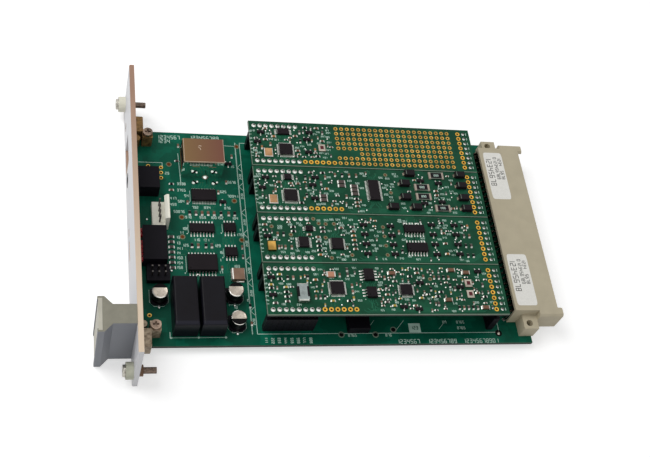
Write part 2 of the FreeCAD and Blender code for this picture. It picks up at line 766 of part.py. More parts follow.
def header_pins(label, middle):
    """The 24 square pins that carry one module."""
    low, high = "socket_height - pin_entry", "module_top + pin_stand"
    rows = []
    for name, sign in (("far", 1), ("near", -1)):
        row = new_body(f"{label}_{name}")
        square = rectangle(centred("first_pin_x", "pin_width"),
                           centred(f"{middle} + {sign} * pin_row_half", "pin_width"))
        pad(row, "XY_Plane", low, [square], f"{high} - ({low})")
        repeat(row, "X_Axis", "pitch", "header_ways")
        rows.append(row)
    column = new_body(f"{label}_end")
    square = rectangle(centred("last_pin_x", "pin_width"), centred(f"{middle} - pin_row_half", "pin_width"))
    pad(column, "XY_Plane", low, [square], f"{high} - ({low})")
    repeat(column, "Y_Axis", "pitch", "header_ways")
    return rows + [column]


def chip(label, x, y, length, width, height, floor):
    """Moulded package with its top edges broken, standing just clear of its board."""
    body = new_body(label)
    top = f"{floor} + {height}"
    foot = f"{floor} + chip_stand"
    pad(body, "XY_Plane", foot, [rectangle(centred(x, length), centred(y, width))], f"{height} - chip_stand")
    level = value(top)
    soften(body, "Chamfer", "chip_break",
           lambda edge: all(abs(point.Z - level) < 0.001 for point in edge.Vertexes))
    return body


def build_modules():
    """Four module boards on their headers, with the packages that they carry."""
    sockets = []
    for number in range(1, SIZES["module_count"] + 1):
        middle = module_middle(number)
        name = f"module_{number}"
        board_x = ("first_pin_x - pin_inset", "last_pin_x + end_inset")
        keep(f"{name}_board", block(f"{name}_laminate", board_x, centred(middle, "module_width"),
                                    ("module_bottom", "module_top")))
        sockets += header_strips(f"{name}_socket", middle, "0", "socket_height")
        keep(f"{name}_header_strips", group(f"{name}_strips", header_strips(
            f"{name}_strip", middle, "module_bottom - strip_height", "module_bottom")))
        keep(f"{name}_pins", group(f"{name}_pin_rows", header_pins(f"{name}_pin", middle)))
        packages = [chip(f"{name}_{role}", along_module(x), f"{middle} + {y}", length, width, height,
                         "module_top")
                    for role, (x, y, length, width, height) in MODULE_CHIPS[number].items()]
        keep(f"{name}_chips", group(f"{name}_packages", packages))
    keep("module_sockets", group("socket_strips", sockets))
    crystals = [chip(f"crystal_{number}", along_module(x), f"{module_middle(number)} + {y}", *CRYSTAL,
                     "module_top") for number, (x, y) in MODULE_CRYSTALS.items()]
    keep("module_crystals", group("crystals", crystals))
    middle = module_middle(2)
    diodes = [chip(f"diode_{count}", along_module(x), f"{middle} + {y}", "diode_length", "diode_width",
                   "diode_height", "module_top") for count, (x, y) in enumerate(DIODE_PLACES, start=1)]
    keep("module_diodes", group("diodes", diodes))
    resistors = [block(f"resistor_{count}", centred(along_module(x), "resistor_length"),
                       centred(f"{middle} + {y}", "resistor_width"),
                       ("module_top", "module_top + resistor_height"))
                 for count, (x, y) in enumerate(RESISTOR_PLACES, start=1)]
    keep("module_resistors", group("resistors", resistors))
    for label, (number, x, y, length, width, height) in INDUCTORS.items():
        keep(label, chip(f"{label}_body", along_module(x), f"{module_middle(number)} + {y}", length, width,
                         height, "module_top"))


def build_carrier_parts():
    """Chips, relays, capacitors and choke on the carrier board."""
    keep("carrier_chips", group("carrier_packages", [
        chip(role, str(x), str(y), length, width, height, "0")
        for role, (x, y, length, width, height) in CARRIER_CHIPS.items()]))
    for count, end in enumerate(("front", "rear")):
        relay = new_body(f"{end}_relay_case")
        outline = rectangle(centred(f"relay_x + {count} * relay_pitch", "relay_width"),
                            centred("relay_y", "relay_length"))
        pad(relay, "XY_Plane", "0", [outline], "relay_height")
        top = value("relay_height")
        soften(relay, "Fillet", "relay_round",
               lambda edge: all(abs(point.Z - top) < 0.001 for point in edge.Vertexes))
        keep(f"{end}_relay", relay)
    cans, bases = [], []
    for number in (1, 2, 3):
        x, y = f"can_{number}_x", f"can_{number}_y"
        profile = [("-can_top", "0"), ("-can_top", "can_radius"), ("-base_height", "can_radius"),
                   ("-base_height", "0")]
        cans.append(place(turned(f"can_{number}", profile), x, y, "0", ((0, 1, 0), 90)))
        base = new_body(f"can_base_{number}")
        low_x, high_x = centred(x, "2 * base_half")
        low_y, high_y = centred(y, "2 * base_half")
        outline = [(f"{low_x} + base_corner", low_y), (f"{high_x} - base_corner", low_y),
                   (high_x, f"{low_y} + base_corner"), (high_x, high_y), (low_x, high_y),
                   (low_x, f"{low_y} + base_corner")]
        pad(base, "XY_Plane", "0", [outline], "base_height")
        bases.append(base)
    keep("capacitor_cans", group("cans", cans))
    keep("capacitor_bases", group("can_bases", bases))
    keep("chip_capacitor", block("brick_capacitor", centred("brick_x", "brick_side"),
                                 centred("brick_y", "brick_side"), ("0", "brick_height")))
    keep("choke", chip("choke_case", "choke_x", "choke_y", "choke_length", "choke_width", "choke_height",
                       "0"))


def build_shelled_socket():
    """Metal shell open to the front, with a moulded insert that holds a tongue."""
    body = new_body("shell_folding")
    outer = rectangle(centred("shell_y", "shell_width"), ("0", "shell_height"))
    pad(body, "YZ_Plane", "shell_x", [outer], "shell_length")
    inner_y = centred("shell_y", "shell_width - 2 * shell_wall")
    inner_z = ("shell_wall", "shell_height - shell_wall")
    pocket(body, "YZ_Plane", "shell_x", [rectangle(inner_y, inner_z)], "shell_length - shell_wall",
           reverse=True)
    keep("socket_shell", body)
    insert = new_body("insert_moulding")
    pad(insert, "YZ_Plane", "shell_x + shell_wall", [rectangle(inner_y, inner_z)],
        "shell_length - 2 * shell_wall")
    left, right = centred("shell_y", "mouth_width")
    low, high = centred("shell_height / 2", "mouth_height")
    mouth = [(left, low), (right, low), (right, f"{high} - mouth_corner"), (f"{right} - mouth_corner", high),
             (f"{left} + mouth_corner", high), (left, f"{high} - mouth_corner")]
    tongue = rectangle(centred("shell_y", "tongue_width"), centred("shell_height / 2", "tongue_height"))
    pocket(insert, "YZ_Plane", "shell_x + shell_wall", [mouth, tongue], "mouth_depth", reverse=True)
    keep("socket_insert", insert)


def build_front_connectors():
    """Jack, lamp holder with its lamps, latch header and two-row pin header."""
    jack = new_body("jack_moulding")
    pad(jack, "YZ_Plane", "jack_gap", [rectangle(centred("jack_y", "jack_width"), ("0", "jack_height"))],
        "jack_length")
    pad(jack, "YZ_Plane", "-panel_thickness", [("jack_y", "jack_height / 2", "collar_radius")],
        "panel_thickness + jack_gap")
    pocket(jack, "YZ_Plane", "-panel_thickness", [("jack_y", "jack_height / 2", "jack_bore_radius")],
           "jack_bore_depth", reverse=True)
    keep("front_jack", jack)

    holder = new_body("lamp_holder_moulding")
    holder_y = ("lamp_holder_y - lamp_holder_width", "lamp_holder_y")
    pad(holder, "YZ_Plane", "lamp_holder_x", [rectangle(holder_y, ("0", "lamp_holder_height"))],
        "lamp_holder_length")
    lamps, wells = [], []
    for first, count in lamp_groups():
        back, tip = "lamp_holder_x + lamp_socket_depth", "-panel_thickness + lamp_tip_gap"
        low, high = centred("lamp_z", "lamp_width")
        profile = [(back, low), (back, high), (f"{tip} + lamp_slope", high), (tip, f"{high} - lamp_slope"),
                   (tip, f"{low} + lamp_slope"), (f"{tip} + lamp_slope", low)]
        for step in range(count):
            middle = f"{first} - {step} * lamp_pitch"
            lamp = new_body(f"lamp_{count}_{step}")
            pad(lamp, "XZ_Plane", f"-({middle})", [profile], "lamp_width", midplane=True)
            lamps.append(lamp)
            wells.append(rectangle(centred(middle, "lamp_width + 2 * fit_clearance"),
                                   centred("lamp_z", "lamp_width + 2 * fit_clearance")))
    pocket(holder, "YZ_Plane", "lamp_holder_x", wells, "lamp_socket_depth", reverse=True)
    keep("lamp_holder", holder)
    keep("indicator_lamps", group("lamps", lamps))

    latch = new_body("latch_moulding")
    right = "latch_x + latch_length"
    wall = f"{right} - latch_wall"
    profile = [("latch_x", "0"), (right, "0"), (right, "latch_top"), (f"{wall} + latch_hook", "latch_top"),
               (f"{wall} - latch_hook", "latch_top - 2 * latch_hook"), (wall, "latch_top - 3 * latch_hook"),
               (wall, "latch_base"), ("latch_x", "latch_base")]
    pad(latch, "XZ_Plane", "-latch_y", [profile], "latch_width", midplane=True)
    keep("latch_header", latch)
    keep("latch_header_pins", pin_row("latch_pin", "latch_pin_x", "latch_y - (latch_ways - 1) * pitch / 2",
                                      "latch_pin_top", "Y_Axis", "latch_ways"))

    keep("pin_header", block("plug_moulding", centred("plug_x", "plug_length"),
                             centred("plug_y", "plug_width"), ("0", "plug_height")))
    first_x = "plug_x - (plug_columns - 1) * pitch / 2"
    rows = [pin_row(f"plug_pin_{name}", first_x, f"plug_y + {sign} * pitch / 2", "plug_pin_top",
                    "X_Axis", "plug_columns") for name, sign in (("far", 1), ("near", -1))]
    keep("pin_header_pins", group("plug_pins", rows))


def pin_row(label, x, y, top, axis, count):
    """Row of square pins that pass through the carrier board."""
    row = new_body(label)
    foot = "-board_thickness - tail_length"
    section = rectangle(centred(x, "pin_width"), centred(y, "pin_width"))
    pad(row, "XY_Plane", foot, [section], f"{top} - ({foot})")
    repeat(row, axis, "pitch", count)
    return row


def check():
    """Stop if any object failed or any node is not a set of valid solids."""
    for item in doc.Objects:
        if "Invalid" in item.State or "Error" in item.State:
            raise RuntimeError(f"{item.Label} failed: {item.State}")
    for label, piece in nodes.items():
        shape = piece.Shape
        if shape.isNull() or not shape.isValid() or not shape.Solids:
            raise RuntimeError(f"{label} has no valid solid")


def write():
    """One STEP file for each node."""
    os.makedirs("parts", exist_ok=True)
    for label, piece in nodes.items():
        piece.Shape.exportStep(os.path.join("parts", f"{label}.step"))


build_front_panel()
build_pull_handle()
build_captive_screws()
build_brackets()
build_carrier_board()
build_rear_connector()
build_modules()
build_carrier_parts()
build_shelled_socket()
build_front_connectors()
doc.recompute()
check()
write()
print(len(nodes), "nodes,", sum(len(piece.Shape.Solids) for piece in nodes.values()), "solids")
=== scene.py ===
import json
import math
import random

import bpy
from mathutils import Matrix, Vector


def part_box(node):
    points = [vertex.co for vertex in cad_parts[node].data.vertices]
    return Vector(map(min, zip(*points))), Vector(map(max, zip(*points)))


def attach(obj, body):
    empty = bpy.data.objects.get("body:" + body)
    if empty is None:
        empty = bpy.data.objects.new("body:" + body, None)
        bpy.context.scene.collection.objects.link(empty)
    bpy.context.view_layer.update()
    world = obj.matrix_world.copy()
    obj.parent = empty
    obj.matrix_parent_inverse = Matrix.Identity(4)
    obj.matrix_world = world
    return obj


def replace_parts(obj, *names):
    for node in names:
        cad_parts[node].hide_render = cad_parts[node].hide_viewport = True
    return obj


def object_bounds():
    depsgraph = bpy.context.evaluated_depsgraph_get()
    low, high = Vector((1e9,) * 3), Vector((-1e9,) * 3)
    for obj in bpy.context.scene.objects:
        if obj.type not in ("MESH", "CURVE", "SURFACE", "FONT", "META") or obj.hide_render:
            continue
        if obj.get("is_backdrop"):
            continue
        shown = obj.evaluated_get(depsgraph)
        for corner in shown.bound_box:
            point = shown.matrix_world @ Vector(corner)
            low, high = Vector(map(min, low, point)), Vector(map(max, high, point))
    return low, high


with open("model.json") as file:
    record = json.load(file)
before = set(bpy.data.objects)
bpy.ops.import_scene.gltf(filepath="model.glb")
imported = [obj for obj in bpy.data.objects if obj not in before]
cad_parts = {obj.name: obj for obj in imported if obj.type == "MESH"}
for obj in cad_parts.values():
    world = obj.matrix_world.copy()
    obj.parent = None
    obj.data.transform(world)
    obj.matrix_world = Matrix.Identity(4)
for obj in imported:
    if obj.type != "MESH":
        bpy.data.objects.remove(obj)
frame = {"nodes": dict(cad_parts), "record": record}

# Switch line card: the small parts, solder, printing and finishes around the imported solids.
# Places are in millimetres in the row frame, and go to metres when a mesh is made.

CAD_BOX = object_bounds()
MM = 0.001
MICRONS_IN_METRE = 1e6
MICRONS_IN_MM = 1000
PITCH = 2.54
# thickness of printing, and of the lacquer over a copper line
INK = 0.02
MASK = 0.015


# Places that the solids give

def box_mm(node):
    """Lowest and highest corner of a CAD node, in millimetres."""
    return [Vector(corner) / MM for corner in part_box(node)]


def solids_of(node):
    """Lowest and highest corner of each separate solid of a CAD node, by X and then Y."""
    mesh = frame["nodes"][node].data
    keys = [tuple(round(value * MICRONS_IN_METRE) for value in vertex.co) for vertex in mesh.vertices]
    parent = {key: key for key in keys}

    def root(key):
        while parent[key] != key:
            parent[key] = parent[parent[key]]
            key = parent[key]
        return key

    for face in mesh.polygons:
        first, *rest = (keys[index] for index in face.vertices)
        for key in rest:
            parent[root(key)] = root(first)
    groups = {}
    for key in parent:
        groups.setdefault(root(key), []).append(key)
    boxes = [[Vector(extreme(places) for places in zip(*points)) / MICRONS_IN_MM for extreme in (min, max)]
             for points in groups.values()]
    return sorted(boxes, key=lambda box: (round(box[0].x), box[0].y))


def centre(low, high):
    """Middle of a box in X and Y."""
    return (low.x + high.x) / 2, (low.y + high.y) / 2


def centres(node):
    """Middle in X and Y of each separate solid of a CAD node."""
    return [centre(*box) for box in solids_of(node)]


class Module:
    """Places on one module board, from its first pin's column and its middle line."""

    def __init__(self, number):
        self.number = number
        self.low, self.high = box_mm(self.name("board"))
        self.top = self.high.z
        self.middle = (self.low.y + self.high.y) / 2
        pins = [(low + high) / 2 for low, high in solids_of(self.name("pins"))]
        self.pins = sorted(pins, key=lambda pin: (round(pin.x), pin.y))
        self.first_x = self.pins[0].x
        self.last_x = self.pins[-1].x

    def name(self, kind):
        return f"module_{self.number}_{kind}"

    def at(self, x, y):
        return self.first_x + x, self.middle + y


CARRIER_LOW, CARRIER_HIGH = box_mm("carrier_board")
CARRIER_TOP = CARRIER_HIGH.z
CARRIER_UNDER = CARRIER_LOW.z
MODULES = [Module(number) for number in (1, 2, 3, 4)]
MODULE_TOP = MODULES[0].top


def placed(name, data):
    """A new object of the scene."""
    item = bpy.data.objects.new(name, data)
    bpy.context.collection.objects.link(item)
    return item


# Finishes

def feed(tree, socket, source):
    """Gives an input another node's output, a colour of three channels or a value."""
    if isinstance(source, bpy.types.NodeSocket):
        tree.links.new(source, socket)
    else:
        socket.default_value = (*source, 1.0) if socket.type == "RGBA" else source


def fill(tree, node, inputs):
    """Feeds a node's inputs, and returns its outputs."""
    for name, source in inputs.items():
        feed(tree, node.inputs[name], source)
    return node.outputs


def reckoned(tree, operation, *terms):
    """Value of an operation on values or outputs."""
    node = tree.nodes.new("ShaderNodeMath")
    node.operation = operation
    return fill(tree, node, dict(enumerate(terms)))["Value"]


class Finish:
    """A principled material whose colour, gloss and relief are drawn by nodes."""

    def __init__(self, name, rough, metallic=0.0, sheen=0.3):
        self.material = bpy.data.materials.new(name)
        self.material.use_nodes = True
        self.tree = self.material.node_tree
        self.shader = self.tree.nodes["Principled BSDF"]
        self.give({"Metallic": metallic, "Roughness": rough, "Specular IOR Level": sheen})
        self.place = self.node("ShaderNodeTexCoord", {})["Object"]

    def give(self, inputs):
        """Feeds the shader's inputs."""
        fill(self.tree, self.shader, inputs)

    def node(self, kind, inputs):
        """Outputs of a new node with these inputs."""
        return fill(self.tree, self.tree.nodes.new(kind), inputs)

    def made(self, colour, height, depth):
        """The material, with its colour and with bumps of the given depth in millimetres."""
        bumps = self.node("ShaderNodeBump", {"Height": height, "Distance": depth * MM})["Normal"]
        self.give({"Base Color": colour, "Normal": bumps})
        return self.material

    def noise(self, grain, detail=3.0, stretch=(1, 1, 1)):
        """Noise whose lumps are about grain millimetres, stretched along each axis."""
        scale = [1 / (grain * MM * factor) for factor in stretch]
        place = self.node("ShaderNodeMapping", {"Vector": self.place, "Scale": scale})["Vector"]
        return self.node("ShaderNodeTexNoise", {"Vector": place, "Scale": 1.0, "Detail": detail})["Fac"]

    def span(self, value, low, high, start=0.0, end=1.0):
        """value carried from low..high to start..end."""
        return self.node("ShaderNodeMapRange", {"Value": value, "From Min": low, "From Max": high,
                                                "To Min": start, "To Max": end})["Result"]

    def mixed(self, share, first, second):
        """Colour between two colours or outputs by a share."""
        node = self.tree.nodes.new("ShaderNodeMix")
        node.data_type = "RGBA"
        return fill(self.tree, node, {"Factor": share, "A": first, "B": second})["Result"]

    def mottled(self, grain, first, second, detail=3.0):
        """Colour that drifts between two tones in lumps of about grain millimetres."""
        return self.mixed(self.span(self.noise(grain, detail), 0.3, 0.7), first, second)

    def gloss(self, share, low, high):
        """Roughness from low to high with a share of about 0.3 to 0.7."""
        self.give({"Roughness": self.span(share, 0.3, 0.7, low, high)})

    def part(self, vector, axis):
        """A vector's share on an axis."""
        return self.node("ShaderNodeSeparateXYZ", {"Vector": vector})[axis]

    def level(self):
        """1 on faces that look up or down, 0 on the others."""
        normal = self.node("ShaderNodeNewGeometry", {})["Normal"]
        return self.span(reckoned(self.tree, "ABSOLUTE", self.part(normal, "Z")), 0.5, 0.7)

    def toward(self, way):
        """Share that grows from 0 to 1 as faces turn towards a direction."""
        normal = self.node("ShaderNodeNewGeometry", {})["Normal"]
        node = self.tree.nodes.new("ShaderNodeVectorMath")
        node.operation = "DOT_PRODUCT"
        turn = fill(self.tree, node, {0: normal, 1: Vector(way).normalized()})["Value"]
        return self.span(turn, 0.1, 0.75)

    def along(self, axis, low, high):
        """Share that grows from 0 to 1 between two places on an axis, in millimetres."""
        return self.span(self.part(self.place, axis), low * MM, high * MM)


def shade(colour, factor):
    return tuple(min(1.0, channel * factor) for channel in colour)


def around(colour, variety):
    """Two tones a little darker and lighter than a colour."""
    return shade(colour, 1 - variety), shade(colour, 1 + variety)


def moulded(name, colour, rough=0.5, grain=0.25, depth=0.02, variety=0.12, sheen=0.25):
    """Moulded plastic: slow colour drift and a fine grain."""
    finish = Finish(name, rough, sheen=sheen)
    finish.gloss(finish.noise(1.5), rough - 0.07, rough + 0.07)
    return finish.made(finish.mottled(6.0, *around(colour, variety)), finish.noise(grain, 4.0), depth)


def metal(name, colour, rough=0.3, grain=0.4, depth=0.01, variety=0.08):
    """Plated or cast metal with a fine uneven gloss."""
    finish = Finish(name, rough, 1.0, 0.5)
    speckle = finish.noise(grain)
    finish.gloss(speckle, rough - 0.06, rough + 0.1)
    return finish.made(finish.mottled(3.0, *around(colour, variety)), speckle, depth)


def lacquered(name, green, edge, top):
    """Green lacquer over areas of copper, with cut edges that are pale near the top and darkened below by
    painted shade.
    """
    finish = Finish(name, 0.38, sheen=0.1)
    cells = finish.tree.nodes.new("ShaderNodeTexVoronoi")
    cells.distance = "CHEBYCHEV"
    cell = fill(finish.tree, cells, {"Vector": finish.place, "Scale": 210.0, "Randomness": 0.85})["Color"]
    copper = finish.node("ShaderNodeSeparateColor", {"Color": cell})["Red"]
    face = finish.mixed(finish.span(copper, 0.46, 0.54), green, shade(green, 1.45))
    cloudy = finish.mixed(finish.span(finish.noise(9.0), 0.25, 0.75), shade(green, 0.8), face)
    weave = finish.span(finish.noise(0.35, 2.0, (3, 1, 1)), 0.35, 0.65)
    rim = finish.mixed(weave, shade(edge, 0.8), edge)
    # painted shade: the lower part of each cut edge goes near black, where neighbouring boards and sockets
    # shade it
    sides = finish.mixed(finish.along("Z", top - 0.45, top - 0.25), shade(edge, 0.12), rim)
    finish.gloss(finish.noise(2.0), 0.3, 0.46)
    return finish.made(finish.mixed(finish.level(), sides, cloudy), copper, 0.02)


def paper():
    """White label paper with a faint fibre."""
    finish = Finish("label_paper", 0.45)
    fibre = finish.mottled(0.6, (0.80, 0.79, 0.74), (0.88, 0.87, 0.82), 5.0)
    return finish.made(fibre, finish.noise(0.2), 0.004)


def two_sided(name, top, side, rough_top, rough_side, metallic=1.0):
    """Finish whose level faces differ in colour and gloss from its sides; the difference is painted light
    and shade by facing, not a change of material.
    """
    finish = Finish(name, rough_top, metallic)
    crown = top(finish) if callable(top) else finish.mottled(4.0, *around(top, 0.1))
    level = finish.level()
    finish.give({"Roughness": finish.span(level, 0.0, 1.0, rough_side, rough_top)})
    return finish.made(finish.mixed(level, side, crown), finish.noise(0.5, 3.0, (6, 1, 1)), 0.003)


def bronze(finish):
    """Painted reflection on the shell's top: a tint from olive to pink along X."""
    low, high = box_mm("socket_shell")
    return finish.mixed(finish.along("X", low.x, high.x), (0.20, 0.125, 0.06), (0.17, 0.075, 0.055))


def relay_case():
    """Black case with painted light: a paler band on its top above the near face is a painted highlight,
    and its sides are darker than its top as painted shade.
    """
    finish = Finish("relay_case", 0.34, sheen=0.1)
    near = box_mm("front_relay")[0].y
    body = finish.mottled(6.0, (0.0065, 0.0055, 0.0075), (0.008, 0.0075, 0.0105))
    # painted highlight along the near top edge
    top = finish.mixed(finish.along("Y", near + 1.5, near + 1.9), (0.016, 0.016, 0.024), body)
    # sides darker than the top: painted shade
    colour = finish.mixed(finish.level(), (0.0035, 0.0035, 0.0065), top)
    return finish.made(colour, finish.noise(0.25, 4.0), 0.01)


def graded(name, axis, places, first, second, rough, metallic=0.0, grain=0.5, depth=0.02, stain=0.6,
           stretch=(1, 1, 1)):
    """Two stained tones, each a pair of colours, before and beyond places on an axis."""
    finish = Finish(name, rough, metallic, 0.25)
    tones = finish.mottled(stain, *first, 4.0), finish.mottled(stain, *second, 4.0)
    colour = finish.mixed(finish.along(axis, *places), *tones)
    return finish.made(colour, finish.noise(grain, 3.0, stretch), depth)


def solder_joint():
    """Solder with a painted highlight on its near flank and painted shade on the flanks behind the pin."""
    finish = Finish("solder_joint", 0.3, 0.8)
    # painted shade on the flanks that turn away from the near side
    painted_shade = finish.mixed(finish.noise(0.8), (0.05, 0.05, 0.04), (0.22, 0.20, 0.16))
    colour = finish.mixed(finish.toward((-0.25, -0.55, 0.8)), painted_shade, (0.86, 0.86, 0.82))
    return finish.made(colour, finish.noise(0.6), 0.05)


def panel_face():
    """Pale anodised plate whose bare long edge runs from brown at the far end to cream."""
    finish = Finish("panel_face", 0.42, sheen=0.35)
    far = box_mm("front_panel")[1].y
    places = finish.along("Y", far * -0.7, far * 0.8)
    edge = finish.mixed(places, (0.74, 0.60, 0.45), (0.36, 0.215, 0.15))
    lines = finish.span(finish.noise(0.3, 3.0, (1, 14, 1)), 0.3, 0.7)
    face = finish.mixed(lines, (0.68, 0.68, 0.70), (0.74, 0.74, 0.76))
    return finish.made(finish.mixed(finish.level(), face, edge), lines, 0.004)


GREEN = (0.008, 0.066, 0.033)
CARRIER_GREEN = (0.002, 0.100, 0.058)
FINISH = {
    "panel_metal": panel_face(),
    # one moulding in two tones by facing: the olive top is painted light and the blue-grey side is a
    # painted reflection
    "handle_moulding": two_sided("handle_moulding", (0.24, 0.23, 0.18), (0.23, 0.24, 0.265), 0.5, 0.5, 0.0),
    "cream_moulding": graded(
        "cream_moulding", "Y", (-58.0, -46.0), ((0.47, 0.48, 0.38), (0.55, 0.55, 0.44)),
        ((0.78, 0.76, 0.64), (0.72, 0.70, 0.58)), 0.42, depth=0.01, stain=2.0),
    "brown_moulding": moulded("brown_moulding", (0.16, 0.09, 0.05), 0.45),
    "clear_white_moulding": moulded("clear_white_moulding", (0.70, 0.70, 0.66), 0.35),
    "steel": metal("steel", (0.26, 0.19, 0.145), 0.3, 0.5, 0.02, 0.5),
    # the same casting in two tones along Y is painted light: beige on the near bracket, darker bronze on
    # the far one
    "bracket_casting": graded(
        "bracket_metal", "Y", (-10.0, 10.0), ((0.14, 0.10, 0.065), (0.42, 0.34, 0.245)),
        ((0.11, 0.065, 0.03), (0.33, 0.19, 0.07)), 0.45, 0.6, depth=0.05, stain=1.3),
    "carrier_laminate": lacquered("carrier_laminate", CARRIER_GREEN, (0.05, 0.08, 0.05), CARRIER_TOP),
    "module_laminate": lacquered("module_laminate", GREEN, (0.20, 0.25, 0.19), MODULE_TOP),
    "black_moulding": moulded("black_moulding", (0.006, 0.005, 0.008), 0.42, sheen=0.08),
    "chip_moulding": moulded("chip_moulding", (0.011, 0.008, 0.010), 0.5, 0.18, 0.015, sheen=0.1),
    "relay_case": relay_case(),
    # lit metal tone on the top, and sides near black as painted shade
    "can_metal": two_sided("can_metal", (0.52, 0.46, 0.37), (0.012, 0.011, 0.013), 0.24, 0.5),
    "tan_moulding": moulded("tan_moulding", (0.27, 0.165, 0.11), 0.42, 0.8, 0.02, 0.3),
    # one metal: the olive-to-pink top is a painted reflection, the pale sides are the plain metal
    "shell_metal": two_sided("folded_shell", bronze, (0.80, 0.86, 0.82), 0.3, 0.04),
    "contact_metal": graded(
        "contact_metal", "X", (157.0, 159.0), ((0.03, 0.028, 0.026), (0.13, 0.105, 0.08)),
        ((0.52, 0.33, 0.11), (0.68, 0.45, 0.17)), 0.3, 1.0, depth=0.01),
    "red_lens": moulded("lamp_red", (0.62, 0.01, 0.03), 0.16, 1.2, 0.004),
    "connector_moulding": moulded("connector_moulding", (0.50, 0.445, 0.32), 0.55, 0.35, 0.03, 0.05),
    "crystal_lid": metal("crystal_lid", (0.42, 0.24, 0.12), 0.34, variety=0.35),
    "resistor_body": moulded("resistor_body", (0.010, 0.008, 0.010), 0.3, sheen=0.1),
    "gold_plate": metal("gold_plate", (0.46, 0.27, 0.07), 0.34, variety=0.35),
}
LENS = FINISH["red_lens"].node_tree.nodes["Principled BSDF"]
LENS.inputs["Transmission Weight"].default_value = 0.2
# bright level faces and dark sides: painted highlight on top and painted shade on the flanks
SOLDER = two_sided("solder", (0.84, 0.84, 0.80), (0.16, 0.15, 0.13), 0.3, 0.35)
JOINT = solder_joint()
TINNED = metal("tinned_lead", (0.56, 0.56, 0.52), 0.32, variety=0.3)
# darker tin: painted shade on the far ends and far tabs of parts and on one diode lead, and the colour of
# diode bands and of strips along resistors' long sides
DIM_TIN = metal("dim_tin", (0.13, 0.16, 0.13), 0.45, variety=0.4)
DULL_TIN = metal("dull_tin", (0.10, 0.09, 0.085), 0.4, variety=0.3)
CAN_TOP = metal("can_top", (0.42, 0.37, 0.31), 0.3, 0.9, 0.03, 0.25)
# bright metal on the chip capacitor, and a painted highlight on the cans' shoulders
CAN_RIM = metal("can_rim", (0.82, 0.80, 0.74), 0.22)
GOLD = metal("gold_ring", (0.50, 0.31, 0.07), 0.36, variety=0.3)
BRIGHT_GOLD = metal("bright_gold_ring", (0.66, 0.38, 0.06), 0.32, variety=0.2)
VIA_RING = moulded("via_ring", (0.17, 0.18, 0.105), 0.4)
HOLE = moulded("plated_hole", (0.075, 0.022, 0.006), 0.6, sheen=0.05)
RUST = moulded("via_hole", (0.16, 0.045, 0.012), 0.6, sheen=0.05)
SILK = moulded("silk_ink", (0.56, 0.76, 0.66), 0.55, 0.3, 0.004, 0.15)
TRACE = moulded("covered_copper", (0.006, 0.125, 0.062), 0.36, 0.4, 0.004)
# grey: the colour of the rings near the carrier's edge, and a painted highlight along the modules' top
# edges
GREY_RING_AND_EDGE_HIGHLIGHT = moulded("grey_ring_and_edge_highlight", (0.19, 0.25, 0.19), 0.6)
# painted highlight on the shell's folded edges and on the lines of its mark
SHELL_HIGHLIGHT = moulded("shell_highlight", (0.52, 0.40, 0.30), 0.3)
DARK_RED = moulded("dark_red", (0.09, 0.006, 0.012), 0.3)
SALMON = moulded("salmon", (0.55, 0.26, 0.16), 0.4)
PALE_CERAMIC = moulded("pale_ceramic", (0.40, 0.34, 0.28), 0.45)
TAN = moulded("ceramic_tan", (0.17, 0.085, 0.05), 0.42)
ORANGE = moulded("ceramic_orange", (0.38, 0.16, 0.05), 0.42)
GREY_CERAMIC = moulded("ceramic_grey", (0.075, 0.055, 0.05), 0.4)
BLACK_CERAMIC = moulded("ceramic_black", (0.008, 0.006, 0.008), 0.35, sheen=0.1)
YELLOW = moulded("polymer_yellow", (0.42, 0.30, 0.05), 0.42)
PINK = moulded("ferrite_pink", (0.30, 0.16, 0.12), 0.42)
LABEL = paper()
BLACK_INK = moulded("black_ink", (0.006, 0.006, 0.006), 0.5, sheen=0.05)
CAPTIVE_STEEL = graded(
    "captive_steel", "X", (-4.0, -2.0), ((0.26, 0.24, 0.20), (0.64, 0.62, 0.56)),
    ((0.07, 0.05, 0.04), (0.19, 0.14, 0.11)), 0.32, 0.85, 0.35, 0.14, stretch=(1, 30, 30))
# nodes that differ from the rest of their slot
OWN_FINISH = {
    "rear_connector_tails": DULL_TIN,
    "pin_header_pins": DULL_TIN,
    "latch_header_pins": DULL_TIN,
    # lighter than the cream moulding to offset the panel's shade on it: painted light
    "latch_header": moulded("latch_moulding", (0.94, 0.92, 0.80), 0.4, 0.5, 0.01, 0.05),
    "shielded_coil": metal("coil_shield", (0.27, 0.31, 0.30), 0.18, variety=0.35),
    "handle_label_strip": moulded("dull_cream", (0.52, 0.50, 0.42), 0.5, 0.4, 0.01, 0.1),
    "upper_captive_screw": CAPTIVE_STEEL,
    "lower_captive_screw": CAPTIVE_STEEL,
}


# Mesh building

